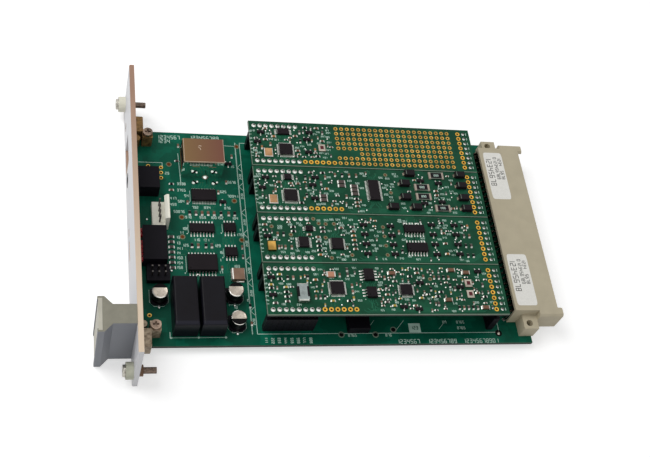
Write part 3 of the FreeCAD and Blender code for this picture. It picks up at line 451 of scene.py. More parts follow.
class Build:
    """One mesh of many small shapes, drawn in millimetres, with a material for each face."""

    def __init__(self):
        self.points, self.faces, self.materials, self.material_of = [], [], [], []

    def loft(self, rings, material, ends=(True, True)):
        """Skin between rings of equally many points, anticlockwise seen from the last ring."""
        count = len(rings[0])
        last = (len(rings) - 1) * count
        faces = [(level + index, level + (index + 1) % count,
                  level + count + (index + 1) % count, level + count + index)
                 for level in range(0, last, count) for index in range(count)]
        if ends[0]:
            faces.append(tuple(reversed(range(count))))
        if ends[1]:
            faces.append(tuple(range(last, last + count)))
        if material not in self.materials:
            self.materials.append(material)
        first = len(self.points)
        self.points += [Vector(point) * MM for ring in rings for point in ring]
        self.faces += [tuple(first + index for index in face) for face in faces]
        self.material_of += [self.materials.index(material)] * len(faces)

    def slab(self, x, y, z, material, edge=0.0):
        """Box between (low, high) places, with its top edges broken."""
        levels = [(z[0], 0.0), (z[1] - edge, 0.0)] + ([(z[1], edge)] if edge else [])
        self.loft([[(x[0] + inset, y[0] + inset, height), (x[1] - inset, y[0] + inset, height),
                    (x[1] - inset, y[1] - inset, height), (x[0] + inset, y[1] - inset, height)]
                   for height, inset in levels], material)

    def block(self, x, y, half_x, half_y, z, material, edge=0.0):
        """Slab around a middle place."""
        self.slab((x - half_x, x + half_x), (y - half_y, y + half_y), z, material, edge)

    def turning(self, x, y, profile, material, sides=16, ends=(True, True)):
        """Round shape about an upright axis from (radius, height) corners, lowest first."""
        turns = [math.tau * step / sides for step in range(sides)]
        self.loft([[(x + radius * math.cos(turn), y + radius * math.sin(turn), height) for turn in turns]
                   for radius, height in profile], material, ends)

    def ring(self, x, y, inner, outer, z, height, material, hole=HOLE, sides=18):
        """Raised annulus with the dark mouth of its hole inside."""
        rim = [(outer, z), (outer - height / 2, z + height), (inner, z + height),
               (inner * 0.9, z + height / 3)]
        self.turning(x, y, rim, material, sides, (False, False))
        self.turning(x, y, [(inner, z), (inner * 0.94, z + height / 2)], hole, sides)

    def solder_dot(self, x, y, radius, z, height=0.3):
        """Domed spot of solder."""
        dome = [(radius, z), (radius * 0.8, z + height * 0.7), (radius * 0.45, z + height)]
        self.turning(x, y, dome, SOLDER, 14)

    def joint(self, x, y, radius, z, height, material=JOINT, up=1, sides=14):
        """Solder cone that climbs a pin."""
        cone = [(radius * share, z + up * height * climb)
                for share, climb in ((1.0, 0.0), (0.86, 0.25), (0.6, 0.55), (0.42, 1.0))]
        self.turning(x, y, cone[::up], material, sides)

    def under_joint(self, x, y, radius, height=0.9, sides=14):
        """Solder cone that hangs below the carrier board."""
        self.joint(x, y, radius, CARRIER_UNDER, height, up=-1, sides=sides)

    def strip(self, points, width, z, material, thickness=INK, up=1):
        """Flat line of constant width along (x, y) points, with mitred corners."""
        points = [Vector(point) for point in points]
        ways = [(end - start).normalized() for start, end in zip(points, points[1:])]
        edges = []
        for point, before, after in zip(points, ways[:1] + ways, ways + ways[-1:]):
            along = (before + after).normalized()
            across = Vector((-along.y, along.x))
            reach = width / 2 / max(0.4, abs(along.dot(before)))
            edges.append((point - across * reach, point + across * reach))
        for (right, left), (next_right, next_left) in zip(edges, edges[1:]):
            corners = (right, next_right, next_left, left)
            rings = [[(*corner, height) for corner in corners] for height in (z, z + up * thickness)]
            self.loft(rings[::up], material, (False, True)[::up])

    def leg(self, root, out, width, z, stand, reach, material=TINNED, pad=SOLDER):
        """Bent lead from a package's side down to its pad. out is the unit way it points."""
        root, out = Vector(root), Vector(out)
        across = Vector((-out.y, out.x)) * width / 2
        thick = 0.14
        line = [(-0.1, stand), (reach * 0.25, stand), (reach * 0.5, 0.05), (reach, 0.05)]
        section = line + [(distance, height + thick) for distance, height in reversed(line)]
        rings = [[(*(root + out * distance + across * side), z + height) for distance, height in section]
                 for side in (-1, 1)]
        self.loft(rings if out.x + out.y < 0 else rings[::-1], material)
        foot = root + out * reach * 0.85
        half = [abs(out[axis]) * reach * 0.45 + abs(across[axis]) * 1.25 for axis in (0, 1)]
        self.block(*foot, *half, (z, z + 0.09), pad, 0.04)

    def done(self, name, slot, body="card", smooth=True):
        """Makes the object and rides it on a body; the slot argument is not used."""
        mesh = bpy.data.meshes.new(name)
        mesh.from_pydata(self.points, [], self.faces)
        for material in self.materials:
            mesh.materials.append(material)
        mesh.polygons.foreach_set("material_index", self.material_of)
        mesh.validate()
        if smooth:
            mesh.shade_smooth()
            mesh.set_sharp_from_angle(angle=math.radians(38))
        piece = placed(name, mesh)
        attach(piece, body)
        return piece


# Small parts

PART_BODIES = (TAN, GREY_CERAMIC, BLACK_CERAMIC, TAN, BLACK_CERAMIC)


def two_terminal(build, x, y, z, upright, body, length=1.6, width=0.85, height=0.55):
    """Chip resistor or capacitor with its end caps and solder, along Y when upright."""
    half, side = length / 2, width / 2

    def piece(start, end, reach, bottom, top, material, edge):
        along, across = sorted((start, end)), (-reach, reach)
        first, second = (across, along) if upright else (along, across)
        build.slab((x + first[0], x + first[1]), (y + second[0], y + second[1]),
                   (z + bottom, z + top), material, edge)

    for end in (-1, 1):
        # far ends of upright parts take dim tin as painted shade
        far = upright and end > 0
        piece(end * (half - 0.3), end * (half + 0.25), side, 0.0, 0.12, DIM_TIN if far else SOLDER, 0.05)
        piece(end * (half - 0.28), end * half, side, 0.05, height, DIM_TIN if far else TINNED, 0.07)
    piece(0.27 - half, half - 0.27, side * 0.94, 0.05, height * 0.94, body, 0.05)


def three_leg(build, x, y, z, flip=1):
    """Small transistor: a black body with one leg on one side and two on the other."""
    build.block(x, y, 1.45, 0.65, (z + 0.1, z + 1.0), FINISH["chip_moulding"], 0.16)
    for offset, way in ((0.0, flip), (-0.95, -flip), (0.95, -flip)):
        build.leg((x + offset, y + way * 0.6), (0, way), 0.42, z, 0.45, 0.75)


def framed_part(build, x, y, z):
    """Square part with a bright metal frame round a dark red window."""
    build.block(x, y, 1.5, 1.7, (z, z + 0.7), CAN_TOP, 0.12)
    build.block(x, y, 0.75, 0.85, (z + 0.6, z + 0.73), DARK_RED, 0.02)


def dress_package(build, low, high, z, sideways=False):
    """Pin-one dimple, and leads on four sides of a square package, on the long sides of
    another, or on its ends if it is small and lies sideways."""
    x, y = centre(low, high)
    size = (high - low).xy
    tall = high.z - z
    square = abs(size.x - size.y) < 0.8 and min(size) > 4.4 and tall < 1.4
    shrink = tall < 1.4 or abs(min(size) - 5.3) < 0.1
    step, width, reach = (0.5, 0.22, 0.7) if square else (0.65, 0.26, 0.9) if shrink else (1.27, 0.42, 1.3)
    stand = min(0.55, tall * 0.5)
    sideways = sideways and tall < 1.4 and max(size) < 5.1
    along_x = not sideways and (square or size.x >= size.y)
    along_y = sideways or square or size.x < size.y
    for used, axis in ((along_x, 0), (along_y, 1)):
        count = int((size[axis] + step * 0.25) // step) if used else 0
        for way, corner in ((-1, low), (1, high)):
            for index in range(count):
                root, out = [x, y], [0, 0]
                root[axis] += (index - (count - 1) / 2) * step
                root[1 - axis] = corner[1 - axis]
                out[1 - axis] = way
                build.leg(root, out, width, z, stand, reach)
    dimple = [(0.32, high.z - 0.01), (0.32, high.z + 0.008), (0.22, high.z + 0.004)]
    build.turning(low.x + 0.9, low.y + 0.9, dimple, BLACK_INK, 14)


DIGIT_BARS = {"0": "abcdef", "1": "bc", "2": "abged", "3": "abgcd", "4": "fgbc", "5": "afgcd",
              "6": "afgedc", "7": "abc", "8": "abcdefg", "9": "abcdfg"}
BAR_ENDS = {"a": ((0, 2), (1, 2)), "b": ((1, 2), (1, 1)), "c": ((1, 1), (1, 0)), "d": ((0, 0), (1, 0)),
            "e": ((0, 1), (0, 0)), "f": ((0, 2), (0, 1)), "g": ((0, 1), (1, 1))}


def number(build, text, x, y, z, height, way=(1, 0), stroke=0.2, ink=SILK):
    """Plain printed number that reads along a way, its first digit's foot at a place."""
    half, step = height / 2, height * 0.85
    for place, digit in enumerate(text):
        for bar in DIGIT_BARS.get(digit, ""):
            line = []
            for across, up in BAR_ENDS[bar]:
                right, over = place * step + across * half, up * half
                line.append((x + right * way[0] - over * way[1], y + right * way[1] + over * way[0]))
            build.strip(line, height * stroke, z, ink)


# Carrier board

# X places of two rows of resistors, by their Y
RESISTOR_ROWS = {9.7: (23.0, 25.6, 28.1, 30.6, 33.1, 35.9, 39.1, 41.6), -5.7: (23.1, 25.6, 28.7, 31.1)}
LAMP_RESISTORS_Y = [-1.9 - 2.37 * index for index in range(7)]
CARRIER_VIAS = ((19.5, -1.7), (43.7, -2.8), (19.7, 7.6), (42.0, 16.1), (45.1, 43.9), (15.6, 33.5))
# X, Y and number of digits
CARRIER_LABELS = (
    (13.9, 28.9, 2), (18.6, 23.8, 4), (18.5, 20.7, 4), (15.4, 16.6, 3), (15.3, 13.6, 3), (16.6, 10.2, 5),
    (21.4, 18.0, 2), (18.6, 15.2, 3), (36.4, 20.4, 3), (39.9, 25.3, 4), (39.4, 18.3, 5), (41.6, 33.3, 2),
    (24.2, 12.4, 3), (29.2, 12.4, 3), (37.6, 12.4, 3), (21.2, 7.6, 3), (27.0, 7.6, 3), (31.4, 7.6, 6),
    (40.3, 7.5, 3), (19.5, 2.1, 3), (18.4, 0.3, 2), (24.0, -3.1, 3), (27.7, -3.1, 3), (19.3, -5.7, 3),
    (32.2, -5.7, 3), (16.9, -2.0, 2), (16.9, -4.7, 2), (16.8, -7.2, 3), (16.7, -9.3, 2),
    (16.6, -11.5, 3), (16.5, -13.8, 3), (16.4, -15.9, 3), (33.9, -8.8, 2), (33.8, -12.3, 1),
    (33.2, -17.9, 2), (41.6, -0.4, 4), (42.8, 2.0, 1), (39.3, -15.2, 3), (35.7, -32.5, 1),
    (37.9, -33.6, 2), (43.1, -30.5, 2),
)
LONG_NUMBERS = ((11.2, 46.6, 7), (11.2, 44.5, 4), (25.0, 46.9, 9), (103.0, -49.8, 7), (116.0, -49.8, 9),
                (131.5, -49.8, 11))
EDGE_NUMBERS = ((98.6, -46.6, 3), (83.0, -46.6, 4), (130.0, -41.0, 4), (130.0, -43.6, 4), (124.0, -41.0, 2))
JACK_RINGS = ((12.3, 31.8), (12.2, 29.2), (12.1, 26.6), (7.0, 32.4), (5.1, -36.9))
SHELL_PADS = ((25.9, 30.4), (34.8, 29.9), (26.1, 24.8), (34.4, 24.7))
EDGE_RINGS = ((80.2, -45.7), (94.4, -45.8), (102.2, -43.7))
SOLDER_SPOTS = ((22.5, 28.6), (36.9, 31.2), (5.6, 6.2), (14.4, -17.4), (13.0, -17.9), (24.7, -18.9))
LOOSE_UPRIGHT = ((42.5, 38.6), (39.2, 25.3), (35.5, 20.2), (22.4, 14.9), (43.5, -6.2), (43.5, -10.6),
                 (34.6, -15.9), (44.5, -32.9), (44.5, -40.6), (19.9, 43.2))
LOOSE_FLAT = ((16.2, 23.6), (16.1, 20.6), (19.0, 35.2))


def dress_carrier(rng):
    """Leads, chip parts, rings and solder on the carrier board's component face."""
    z = CARRIER_TOP
    parts = Build()
    for low, high in solids_of("carrier_chips"):
        dress_package(parts, low, high, z)
    for y, row in RESISTOR_ROWS.items():
        for x in row:
            two_terminal(parts, x, y, z, True, rng.choice(PART_BODIES), 1.9, 1.05)
    for y in LAMP_RESISTORS_Y:
        two_terminal(parts, 14.9, y, z, False, GREY_CERAMIC, 2.0, 1.15)
    for places, upright in ((LOOSE_UPRIGHT, True), (LOOSE_FLAT, False)):
        for x, y in places:
            two_terminal(parts, x, y, z, upright, rng.choice(PART_BODIES))
    three_leg(parts, 37.0, 15.2, z)
    three_leg(parts, 40.7, 34.4, z, -1)
    parts.done("carrier_small_parts", "can_metal")

    rings = Build()
    for x, y in CARRIER_VIAS:
        rings.ring(x, y, 0.8, 1.2, z, 0.04, VIA_RING, RUST)
    for x, y in EDGE_RINGS:
        rings.ring(x, y, 1.0, 1.35, z, 0.04, GREY_RING_AND_EDGE_HIGHLIGHT, BLACK_INK)
    for x, y in JACK_RINGS:
        rings.ring(x, y, 0.52, 0.86, z, 0.06, GOLD)
    for x, y in SHELL_PADS:
        rings.turning(x - 0.7, y - 0.3, [(0.75, z), (0.6, z + 0.2)], SOLDER, 12)
        rings.turning(x + 0.9, y + 0.3, [(0.5, z), (0.4, z + 0.2)], SOLDER, 12)
        rings.strip([(x - 0.9, y + 0.75), (x + 0.9, y - 0.75)], 0.6, z + 0.2, BLACK_INK, 0.05)
    rings.ring(30.5, 27.8, 1.0, 1.45, z, 0.06, VIA_RING, BLACK_INK)
    rings.solder_dot(30.5, 27.9, 1.3, z + 0.04, 0.5)
    for x, y in SOLDER_SPOTS:
        rings.solder_dot(x, y, 0.5, z)
    rings.turning(147.7, -45.6, [(1.5, z), (1.4, z + 0.03)], BLACK_INK)
    rings.joint(147.7, -45.6, 0.75, z, 0.5, CAN_TOP)
    rings.done("carrier_rings", "contact_metal")


def turn_cans():
    """Cans with a rounded shoulder, a crimp groove and a black polarity segment on the top."""
    cans = Build()
    # the segment's edge as a share of the radius, and the side of the can it is on
    for (low, high), share, way in zip(solids_of("capacitor_cans"), (0.42, 0.2, 0.42), (1, -1, 1)):
        x, y = centre(low, high)
        radius, foot, top = (high.x - low.x) / 2, low.z, high.z
        side = [(radius, foot), (radius, foot + 0.7), (radius - 0.14, foot + 0.95), (radius, foot + 1.2),
                (radius, top - 0.45)]
        shoulder = [(radius, top - 0.45), (radius - 0.1, top - 0.18), (radius - 0.4, top - 0.02)]
        crown = [(radius - 0.4, top - 0.02), (radius - 0.55, top - 0.06)]
        cans.turning(x, y, side, FINISH["can_metal"], 40, (True, False))
        # shoulder in bright metal: painted highlight round the can's rim
        cans.turning(x, y, shoulder, CAN_RIM, 40, (False, False))
        cans.turning(x, y, crown, CAN_TOP, 40, (False, True))
        reach = radius - 0.12
        start = math.asin(share * radius / reach)
        arc = [start + (math.pi - 2 * start) * step / 20 for step in range(21)]
        base = [(x + reach * math.cos(angle), y + way * reach * math.sin(angle)) for angle in arc][::way]
        cans.loft([[(*point, height) for point in base] for height in (top - 0.2, top)], BLACK_INK)
    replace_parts(cans.done("capacitor_can_shells", "can_metal"), "capacitor_cans")


def dress_capacitors():
    """Solder tabs of the can capacitors, and the chip capacitor's metal ends."""
    trim = Build()
    z = CARRIER_TOP
    for low, high in solids_of("capacitor_bases"):
        x = centre(low, high)[0]
        trim.solder_dot(x, low.y - 0.75, 0.62, z, 0.45)
        # the far tab in dim tin is painted shade; the near tab is plain tin
        for ends, tin in (((low.y - 0.4, low.y + 0.1), TINNED), ((high.y - 0.1, high.y + 0.8), DIM_TIN)):
            trim.slab((x - 0.4, x + 0.4), ends, (z, z + 0.24), tin, 0.08)
    low, high = box_mm("chip_capacitor")
    trim.slab((low.x - 0.45, low.x + 0.02), (low.y, high.y), (z, high.z * 0.8), CAN_RIM, 0.25)
    trim.slab((high.x - 0.02, high.x + 0.4), (low.y + 0.3, high.y - 0.3), (z, high.z * 0.7), TINNED, 0.2)
    for ends, tin in (((low.x - 0.04, low.x + 0.55), CAN_RIM), ((high.x - 0.12, high.x + 0.04), TINNED)):
        trim.slab(ends, (low.y - 0.04, high.y + 0.04), (high.z - 0.5, high.z + 0.05), tin, 0.04)
    trim.slab((low.x, high.x), (low.y - 0.35, low.y + 0.02), (z, 0.5), CAN_RIM, 0.15)
    trim.done("capacitor_trim", "can_metal")


def print_carrier():
    """White printing on the carrier board."""
    ink = Build()
    z = CARRIER_TOP

    def line(width, *points):
        ink.strip(points, width, z, SILK)

    front, back = -45.2, 45.8
    for left, right, width in ((46.4, 148.0, 0.22), (44.3, 44.55, 0.14)):
        corners = [(left, front), (right, front), (right, back), (left, back)]
        for start, end in zip(corners, corners[1:] + corners[:1]):
            line(width, start, end)
    for y in (33.0, 23.2, 10.4, 0.2, -12.4, -22.6, -35.2):
        line(0.18, (44.5, y), (46.4, y + 2.0))
        line(0.18, (44.5, y), (46.4, y - 2.0))
        number(ink, "8642", 45.1, y - 3.4, z, 0.85, (0, -1))
    low, high = box_mm("socket_shell")
    line(0.2, (low.x - 0.9, high.y), (low.x - 0.3, low.y - 4.0))
    line(0.16, (high.x, 44.2), (44.0, 44.0))
    line(0.2, (3.0, 34.2), (12.8, 34.2), (12.8, 32.0))
    low, high = box_mm("front_relay")[0], box_mm("rear_relay")[1]
    left, right, front = low.x - 0.8, high.x + 0.8, low.y - 0.6
    line(0.3, (left, front + 2.4), (left, front), (left + 1.2, front))
    line(0.14, (left, front), (right, front))
    for x in (left + 0.3, (left + right) / 2, right - 0.3):
        ink.joint(x, front, 0.42, z, INK, SILK)
    for low, high in solids_of("carrier_chips"):
        line(0.18, (low.x - 0.5, low.y), (low.x - 0.5, high.y))
        ink.joint(low.x - 1.0, low.y - 0.3, 0.26, z, INK, SILK)
    for low, high in solids_of("capacitor_bases"):
        cut = 1.5
        line(0.16, (low.x - 0.35, high.y + 0.3), (low.x - 0.35, low.y + cut), (low.x + cut, low.y - 0.35),
             (high.x - cut, low.y - 0.35), (high.x + 0.35, low.y + cut), (high.x + 0.35, high.y + 0.3))
    for x in (91.0, 103.6, 121.8):
        line(0.16, (x, -43.6), (x + 3.6, -39.6))
    ink.slab((108.9, 113.9), (-45.0, -40.9), (z, z + INK), SILK)
    number(ink, "123", 109.9, -43.6, z + INK, 1.3, ink=TRACE)
    for index, (x, y, digits) in enumerate(CARRIER_LABELS):
        number(ink, str(4173 * (index + 7))[:digits], x, y - 0.5, z, 1.1)
    for x, y, digits in LONG_NUMBERS:
        number(ink, "12345678901"[:digits], x, y, z, 1.7, stroke=0.15)
    for x, y, digits in EDGE_NUMBERS:
        number(ink, "87654"[:digits], x, y, z, 1.1)
    for step in range(8):
        number(ink, str(111 * (step + 1)), 50.2 + PITCH * step, -49.2, z, 1.0, (0, 1))
    ink.done("carrier_printing", "cream_moulding", smooth=False)


# Traces under the lacquer

def trace_and_hole(build, start, way, rng, board):
    """Covered copper line on a board's top, with one slant, that ends in a small plated hole."""
    first, slant, last = rng.uniform(0.5, 1.4), rng.uniform(0.5, 2.2), rng.uniform(0.3, 3.2)
    side = rng.choice((-1, 1))
    start, way = Vector(start), Vector(way)
    bend = start + way * first
    turned = bend + (way + Vector((-way.y, way.x)) * side) * slant * 0.7
    end = turned + way * last
    low, high = board
    if low.x + 0.6 < end.x < high.x - 0.6 and low.y + 0.6 < end.y < high.y - 0.6:
        z = high.z
        build.strip([start, bend, turned, end], 0.24, z, TRACE, MASK)
        build.turning(end.x, end.y, [(0.3, z), (0.27, z + MASK * 1.4)], TRACE, 10)
        build.turning(end.x, end.y, [(0.12, z), (0.11, z + MASK * 1.8)], HOLE, 8)


def chip_traces(build, node, rng, board, step, first, gap):
    """Copper lines from both long sides of each package."""
    for low, high in solids_of(node):
        for index in range(int((high.x - low.x) / step)):
            x = low.x + first + index * step
            trace_and_hole(build, (x, high.y + gap), (0, 1), rng, board)
            trace_and_hole(build, (x, low.y - gap), (0, -1), rng, board)


def carrier_traces(rng):
    """Copper lines from the carrier's parts, and long runs to the rear connector."""
    copper = Build()
    board = (CARRIER_LOW, CARRIER_HIGH)
    chip_traces(copper, "carrier_chips", rng, board, 1.27, 0.7, 1.2)
    for y in LAMP_RESISTORS_Y:
        trace_and_hole(copper, (16.0, y), (1, 0), rng, board)
    tails = sorted({round(y, 2) for _, y in centres("rear_connector_tails")})
    for face, up in ((CARRIER_TOP, 1), (CARRIER_UNDER, -1)):
        for index, y in enumerate(tails):
            bend = 146.0 - (index % 8) * 1.1
            reach = rng.choice((52.0, 60.0, 72.0, 96.0, 118.0))
            shift = rng.choice((-1.6, -0.8, 0.8, 1.6))
            run = [(150.6, y), (bend, y), (bend - abs(shift), y + shift), (reach, y + shift)]
            copper.strip(run, 0.26, face, TRACE, MASK, up)
    copper.done("carrier_traces", "carrier_laminate", smooth=False)


def module_traces(module, rng):
    """Copper lines on a module's top."""
    copper = Build()
    board = (module.low, module.high)
    chip_traces(copper, module.name("chips"), rng, board, 0.9, 0.5, 0.6)
    if module.number != 1:
        for pin in module.pins[:8]:
            trace_and_hole(copper, (pin.x, pin.y + 1.0), (0, 1), rng, board)
        for step in range(4):
            y = module.low.y + 1.2 + step * 0.55
            x = module.first_x + 36 + step * 1.5
            run = [(x, y + 1.0), (x + 1.2, y), (module.last_x - 8, y), (module.last_x - 4, y + 2.5)]
            copper.strip(run, 0.22, module.top, TRACE, MASK)
    copper.done(module.name("traces"), "module_laminate", smooth=False)


# Modules

# like parts by the modules that have them: X and Y, and for a row of them step X, step Y and count
UPRIGHT = {
    (1, 2): ((6.2, -0.4), (19.2, 1.5), (19.3, 6.2)),
    (1,): ((25.2, -2.7), (2.5, -2.2), (29.3, 6.4)),
    (2,): ((25.7, 3.5), (27.8, 6.5), (19.0, -2.6), (35.8, -2.7), (32.2, 7.9, 3.05, 0, 4)),
    (3,): ((5.0, 1.7, 2.4, 0, 2), (5.0, -4.3, 2.55, 0, 3), (55.8, 3.5, 0, -9.0, 2), (84.0, 6.9, 0, -4.7, 4),
           (86.4, 6.9, 0, -4.7, 4)),
    (4,): ((7.0, 4.9, 2.2, 0, 2), (15.0, 5.2), (28.0, 6.2), (31.3, 8.6, 0, -2.2, 2),
           (17.3, -3.5, 1.8, 0, 3), (32.4, 1.5, 0, -2.75, 3), (50.3, 6.0), (46.3, 5.1, 0, -4.1, 2),
           (62.7, 5.7), (65.0, 0.1), (73.4, 1.7, 1.8, -1.4, 2), (87.5, 2.1), (67.1, -6.5),
           (67.2, 5.4, 2.05, 0, 4), (75.6, -8.2, 1.95, 0, 5)),
}
FLAT = {
    (1, 2): ((8.0, 3.4), (21.9, 8.6, 5.1, 0, 2), (16.4, -6.4)),
    (1,): ((4.3, 1.7), (26.0, -6.0), (17.3, 4.0), (28.8, 1.9), (17.6, -3.5), (4.6, 7.4)),
    (2,): ((12.8, 2.9, 3.1, 0, 2), (40.0, -3.8, 0, -1.8, 3), (27.8, 0.7), (75.7, 1.1, 0, -2.1, 2),
           (81.7, -7.5)),
    (3,): ((0.2, 5.8, 0, -2.5, 2), (11.6, 4.9, 0, -2.0, 2), (17.9, 1.5), (21.4, 0.4, 0, -2.03, 5),
           (23.7, 4.9, 0, -1.9, 2), (36.3, 5.4, 0, -2.06, 6), (31.5, 4.9), (75.2, 8.1, 0, -4.9, 4)),
    (4,): ((3.9, 6.2, 0, -2.0, 2), (18.0, 3.9), (0.2, 1.7, 0, -1.5, 2), (1.2, -6.2),
           (6.0, 0.6, 0, -2.03, 4), (24.0, -5.3, 6.6, 0, 2), (60.3, 9.1, 0, -1.9, 2), (57.0, 5.7),
           (50.4, 3.4), (46.5, -2.5), (45.8, -5.8, 2.8, -1.6, 2), (57.3, -7.4), (60.4, -4.0),
           (69.1, -1.3), (67.4, -3.2), (71.3, -4.7), (84.7, -1.7), (87.6, -3.4)),
}
THREE_LEG = {
    (1, 2): ((2.5, 5.3), (0.8, 0.4), (23.5, 6.0), (22.0, 2.3), (22.2, -4.2)),
    (2,): ((69.5, 6.0, 0, -11.4, 2), (77.4, 4.9, 0, -9.3, 2)),
    (3,): ((0.8, 0.4), (41.0, 6.4, 0, -4.5, 4), (52.5, 6.0, 0, -4.4, 4), (70.5, 7.0, 0, -4.7, 4),
           (80.5, 7.0, 0, -4.6, 4)),
    (4,): ((0.5, 4.8, 0, -7.6, 2), (60.7, 2.7), (86.6, 8.0), (58.4, -9.0), (77.6, 0.9), (52.3, -8.0)),
}
WIDE = {(4,): ((81.2, 7.5), (71.5, -4.9), (75.0, 8.6), (49.6, 7.0), (86.7, -8.3))}
FREE_RINGS = {
    (2,): ((54.4, 8.7), (55.5, -0.2)),
    (3,): ((20.4, 9.0), (22.4, 6.9), (25.3, 6.7), (28.8, 6.8), (2.9, 5.1), (10.4, 1.4), (24.5, 0.3),
           (25.9, -9.0), (34.5, -7.6), (49.4, 5.7, 0, -4.35, 4)),
    (4,): ((65.5, 4.6),),
}
FREE_COLUMNS = {1: range(8, 14), 2: range(8, 14), 3: (), 4: range(8, 14)}
FRAMED = {(1,): ((28.2, -1.7),), (4,): ((81.4, 2.6, 0, -4.9, 2),)}
ARRAYS = {(2,): ((34.5, 4.35, 0, -1.9, 2), (39.8, 2.4, 0, -1.9, 3), (26.0, -2.85, 0, -1.9, 2))}
NEAR_END = (-0.8, 19.0, -7.2, 7.2)
# zones of a module's top: low and high X, low and high Y, then how many parts, labels and solder spots
ZONES = {
    1: ((*NEAR_END, 10, 7, 6), (19.0, 32.5, -7.0, 9.6, 10, 14, 4)),
    2: ((*NEAR_END, 12, 6, 6), (19.0, 34.0, -7.0, 9.8, 8, 10, 6),
        (34.0, 46.0, -9.8, 9.8, 4, 10, 4), (52.0, 86.0, -9.8, 9.8, 6, 26, 12)),
    3: ((*NEAR_END, 5, 12, 3), (19.0, 34.0, -9.8, 9.8, 5, 20, 4),
        (34.0, 52.0, -9.8, 9.8, 8, 14, 8), (54.0, 86.0, -9.8, 9.8, 6, 26, 10)),
    4: ((*NEAR_END, 9, 7, 2), (19.0, 36.0, -7.0, 9.8, 13, 8, 3),
        (43.0, 60.0, -9.8, 9.8, 28, 8, 3), (60.0, 90.0, -9.8, 9.8, 42, 12, 6)),
}


def row_places(rows, module):
    """Places of a table's parts that stand on one module."""
    for numbers, places in rows.items():
        for x, y, *run in places if module.number in numbers else ():
            step_x, step_y, count = run or (0, 0, 1)
            for index in range(count):
                yield module.at(x + index * step_x, y + index * step_y)


def pin_joints(module):
    """Solder around each pin on a module's top and under the carrier's sockets."""
    build = Build()
    z = module.top
    for low, high in solids_of(module.name("pins")):
        x, y = centre(low, high)
        wide = 0.66 if x > module.last_x - 1 else 0.92
        build.turning(x, y, [(wide, z), (wide * 0.95, z + 0.05)], JOINT)
        build.joint(x, y, wide * 0.9, z + 0.04, 0.62)
        build.under_joint(x, y, 0.85)
        tip = [(0.36, high.z - 0.3), (0.36, high.z - 0.02), (0.2, high.z + 0.06)]
        build.turning(x, y, tip, DULL_TIN, 8)
    build.done(module.name("joints"), "can_metal")


def gold_rings(module):
    """Open plated holes: a row after the near pins, and a column before the last pins."""
    build = Build()
    z = module.top
    rows = sorted({round(pin.y, 2) for pin in module.pins if pin.x > module.last_x - 1})
    for y in rows:
        build.ring(module.last_x - PITCH, y, 0.55, 1.0, z, 0.06, BRIGHT_GOLD)
    for column in FREE_COLUMNS[module.number]:
        build.ring(module.first_x + column * PITCH, rows[0], 0.5, 1.0, z, 0.06, BRIGHT_GOLD)
    for x, y in row_places(FREE_RINGS, module):
        build.ring(x, y, 0.45, 0.9, z, 0.05, VIA_RING, RUST)
    for column in range(14, 35) if module.number == 1 else ():
        for index, y in enumerate(rows):
            if column >= 18 or index != 2:
                build.ring(module.first_x + column * PITCH, y, 0.48, 0.91, z, 0.05, GOLD)
    build.done(module.name("rings"), "contact_metal")


# places tried before one is given up
TRIES = 60


class Room:
    """Free places on a module's top, for what fills in between the listed parts."""

    def __init__(self, module):
        self.taken = []
        for pin in module.pins:
            self.take(pin.x, pin.y, 1.0, 1.0)
        for node in (module.name("chips"), "module_crystals", "module_diodes", "module_resistors"):
            for box in solids_of(node):
                self.keep_off(*box, 0.9)
        for node in ("filter_coil", "shielded_coil"):
            self.keep_off(*box_mm(node), 0.5)

    def take(self, x, y, half_x, half_y):
        self.taken.append((x, y, half_x, half_y))

    def keep_off(self, low, high, gap):
        middle, half = (low + high) / 2, (high - low) / 2
        self.take(middle.x, middle.y, half.x + gap, half.y + gap)

    def places(self, count, zone, half_x, half_y, rng):
        """Takes up to count free places in a zone (low x, high x, low y, high y)."""
        for _ in range(count):
            for _ in range(TRIES):
                x, y = rng.uniform(*zone[:2]), rng.uniform(*zone[2:])
                if all(abs(x - other_x) > half_x + wide or abs(y - other_y) > half_y + deep
                       for other_x, other_y, wide, deep in self.taken):
                    self.take(x, y, half_x, half_y)
                    yield x, y
                    break


def dress_module(module, rng):
    """Leads and chip parts on a module's top, with its printing."""
    parts, ink = Build(), Build()
    room = Room(module)
    z = module.top
    full = module.number == 4
    for low, high in solids_of(module.name("chips")):
        dress_package(parts, low, high, z, not full)
        ink.joint(low.x - 0.8, low.y - 0.5, 0.2, z, INK, SILK)
    bright = (YELLOW, YELLOW, ORANGE, PINK, GREY_CERAMIC, BLACK_CERAMIC) if full else (ORANGE,)
    bodies = PART_BODIES * 2 + bright
    for x, y in row_places(THREE_LEG, module):
        room.take(x, y, 1.5, 1.5)
        three_leg(parts, x, y, z, -1)
    for x, y in row_places(FREE_RINGS, module):
        room.take(x, y, 1.0, 1.0)
    for column in FREE_COLUMNS[module.number]:
        room.take(module.first_x + column * PITCH, module.pins[0].y, 1.0, 1.0)
    for x, y in row_places(FRAMED, module):
        room.take(x, y, 1.6, 1.8)
        framed_part(parts, x, y, z)
    for rows, body, size in ((ARRAYS, GREY_CERAMIC, (2.9, 1.5, 0.5)), (WIDE, TAN, (3.2, 1.5, 0.9))):
        for x, y in row_places(rows, module):
            room.take(x, y, 1.7, 0.8)
            two_terminal(parts, x, y, z, False, body, *size)
    for rows, upright in ((UPRIGHT, True), (FLAT, False)):
        for x, y in row_places(rows, module):
            room.take(x, y, *((0.55, 1.1) if upright else (1.1, 0.55)))
            two_terminal(parts, x, y, z, upright, rng.choice(bodies))
    for zone in ZONES[module.number]:
        fill_zone(parts, ink, module, room, zone, bodies, rng)
    edge_printing(ink, module)
    parts.done(module.name("small_parts"), "can_metal")
    ink.done(module.name("printing"), "cream_moulding", smooth=False)


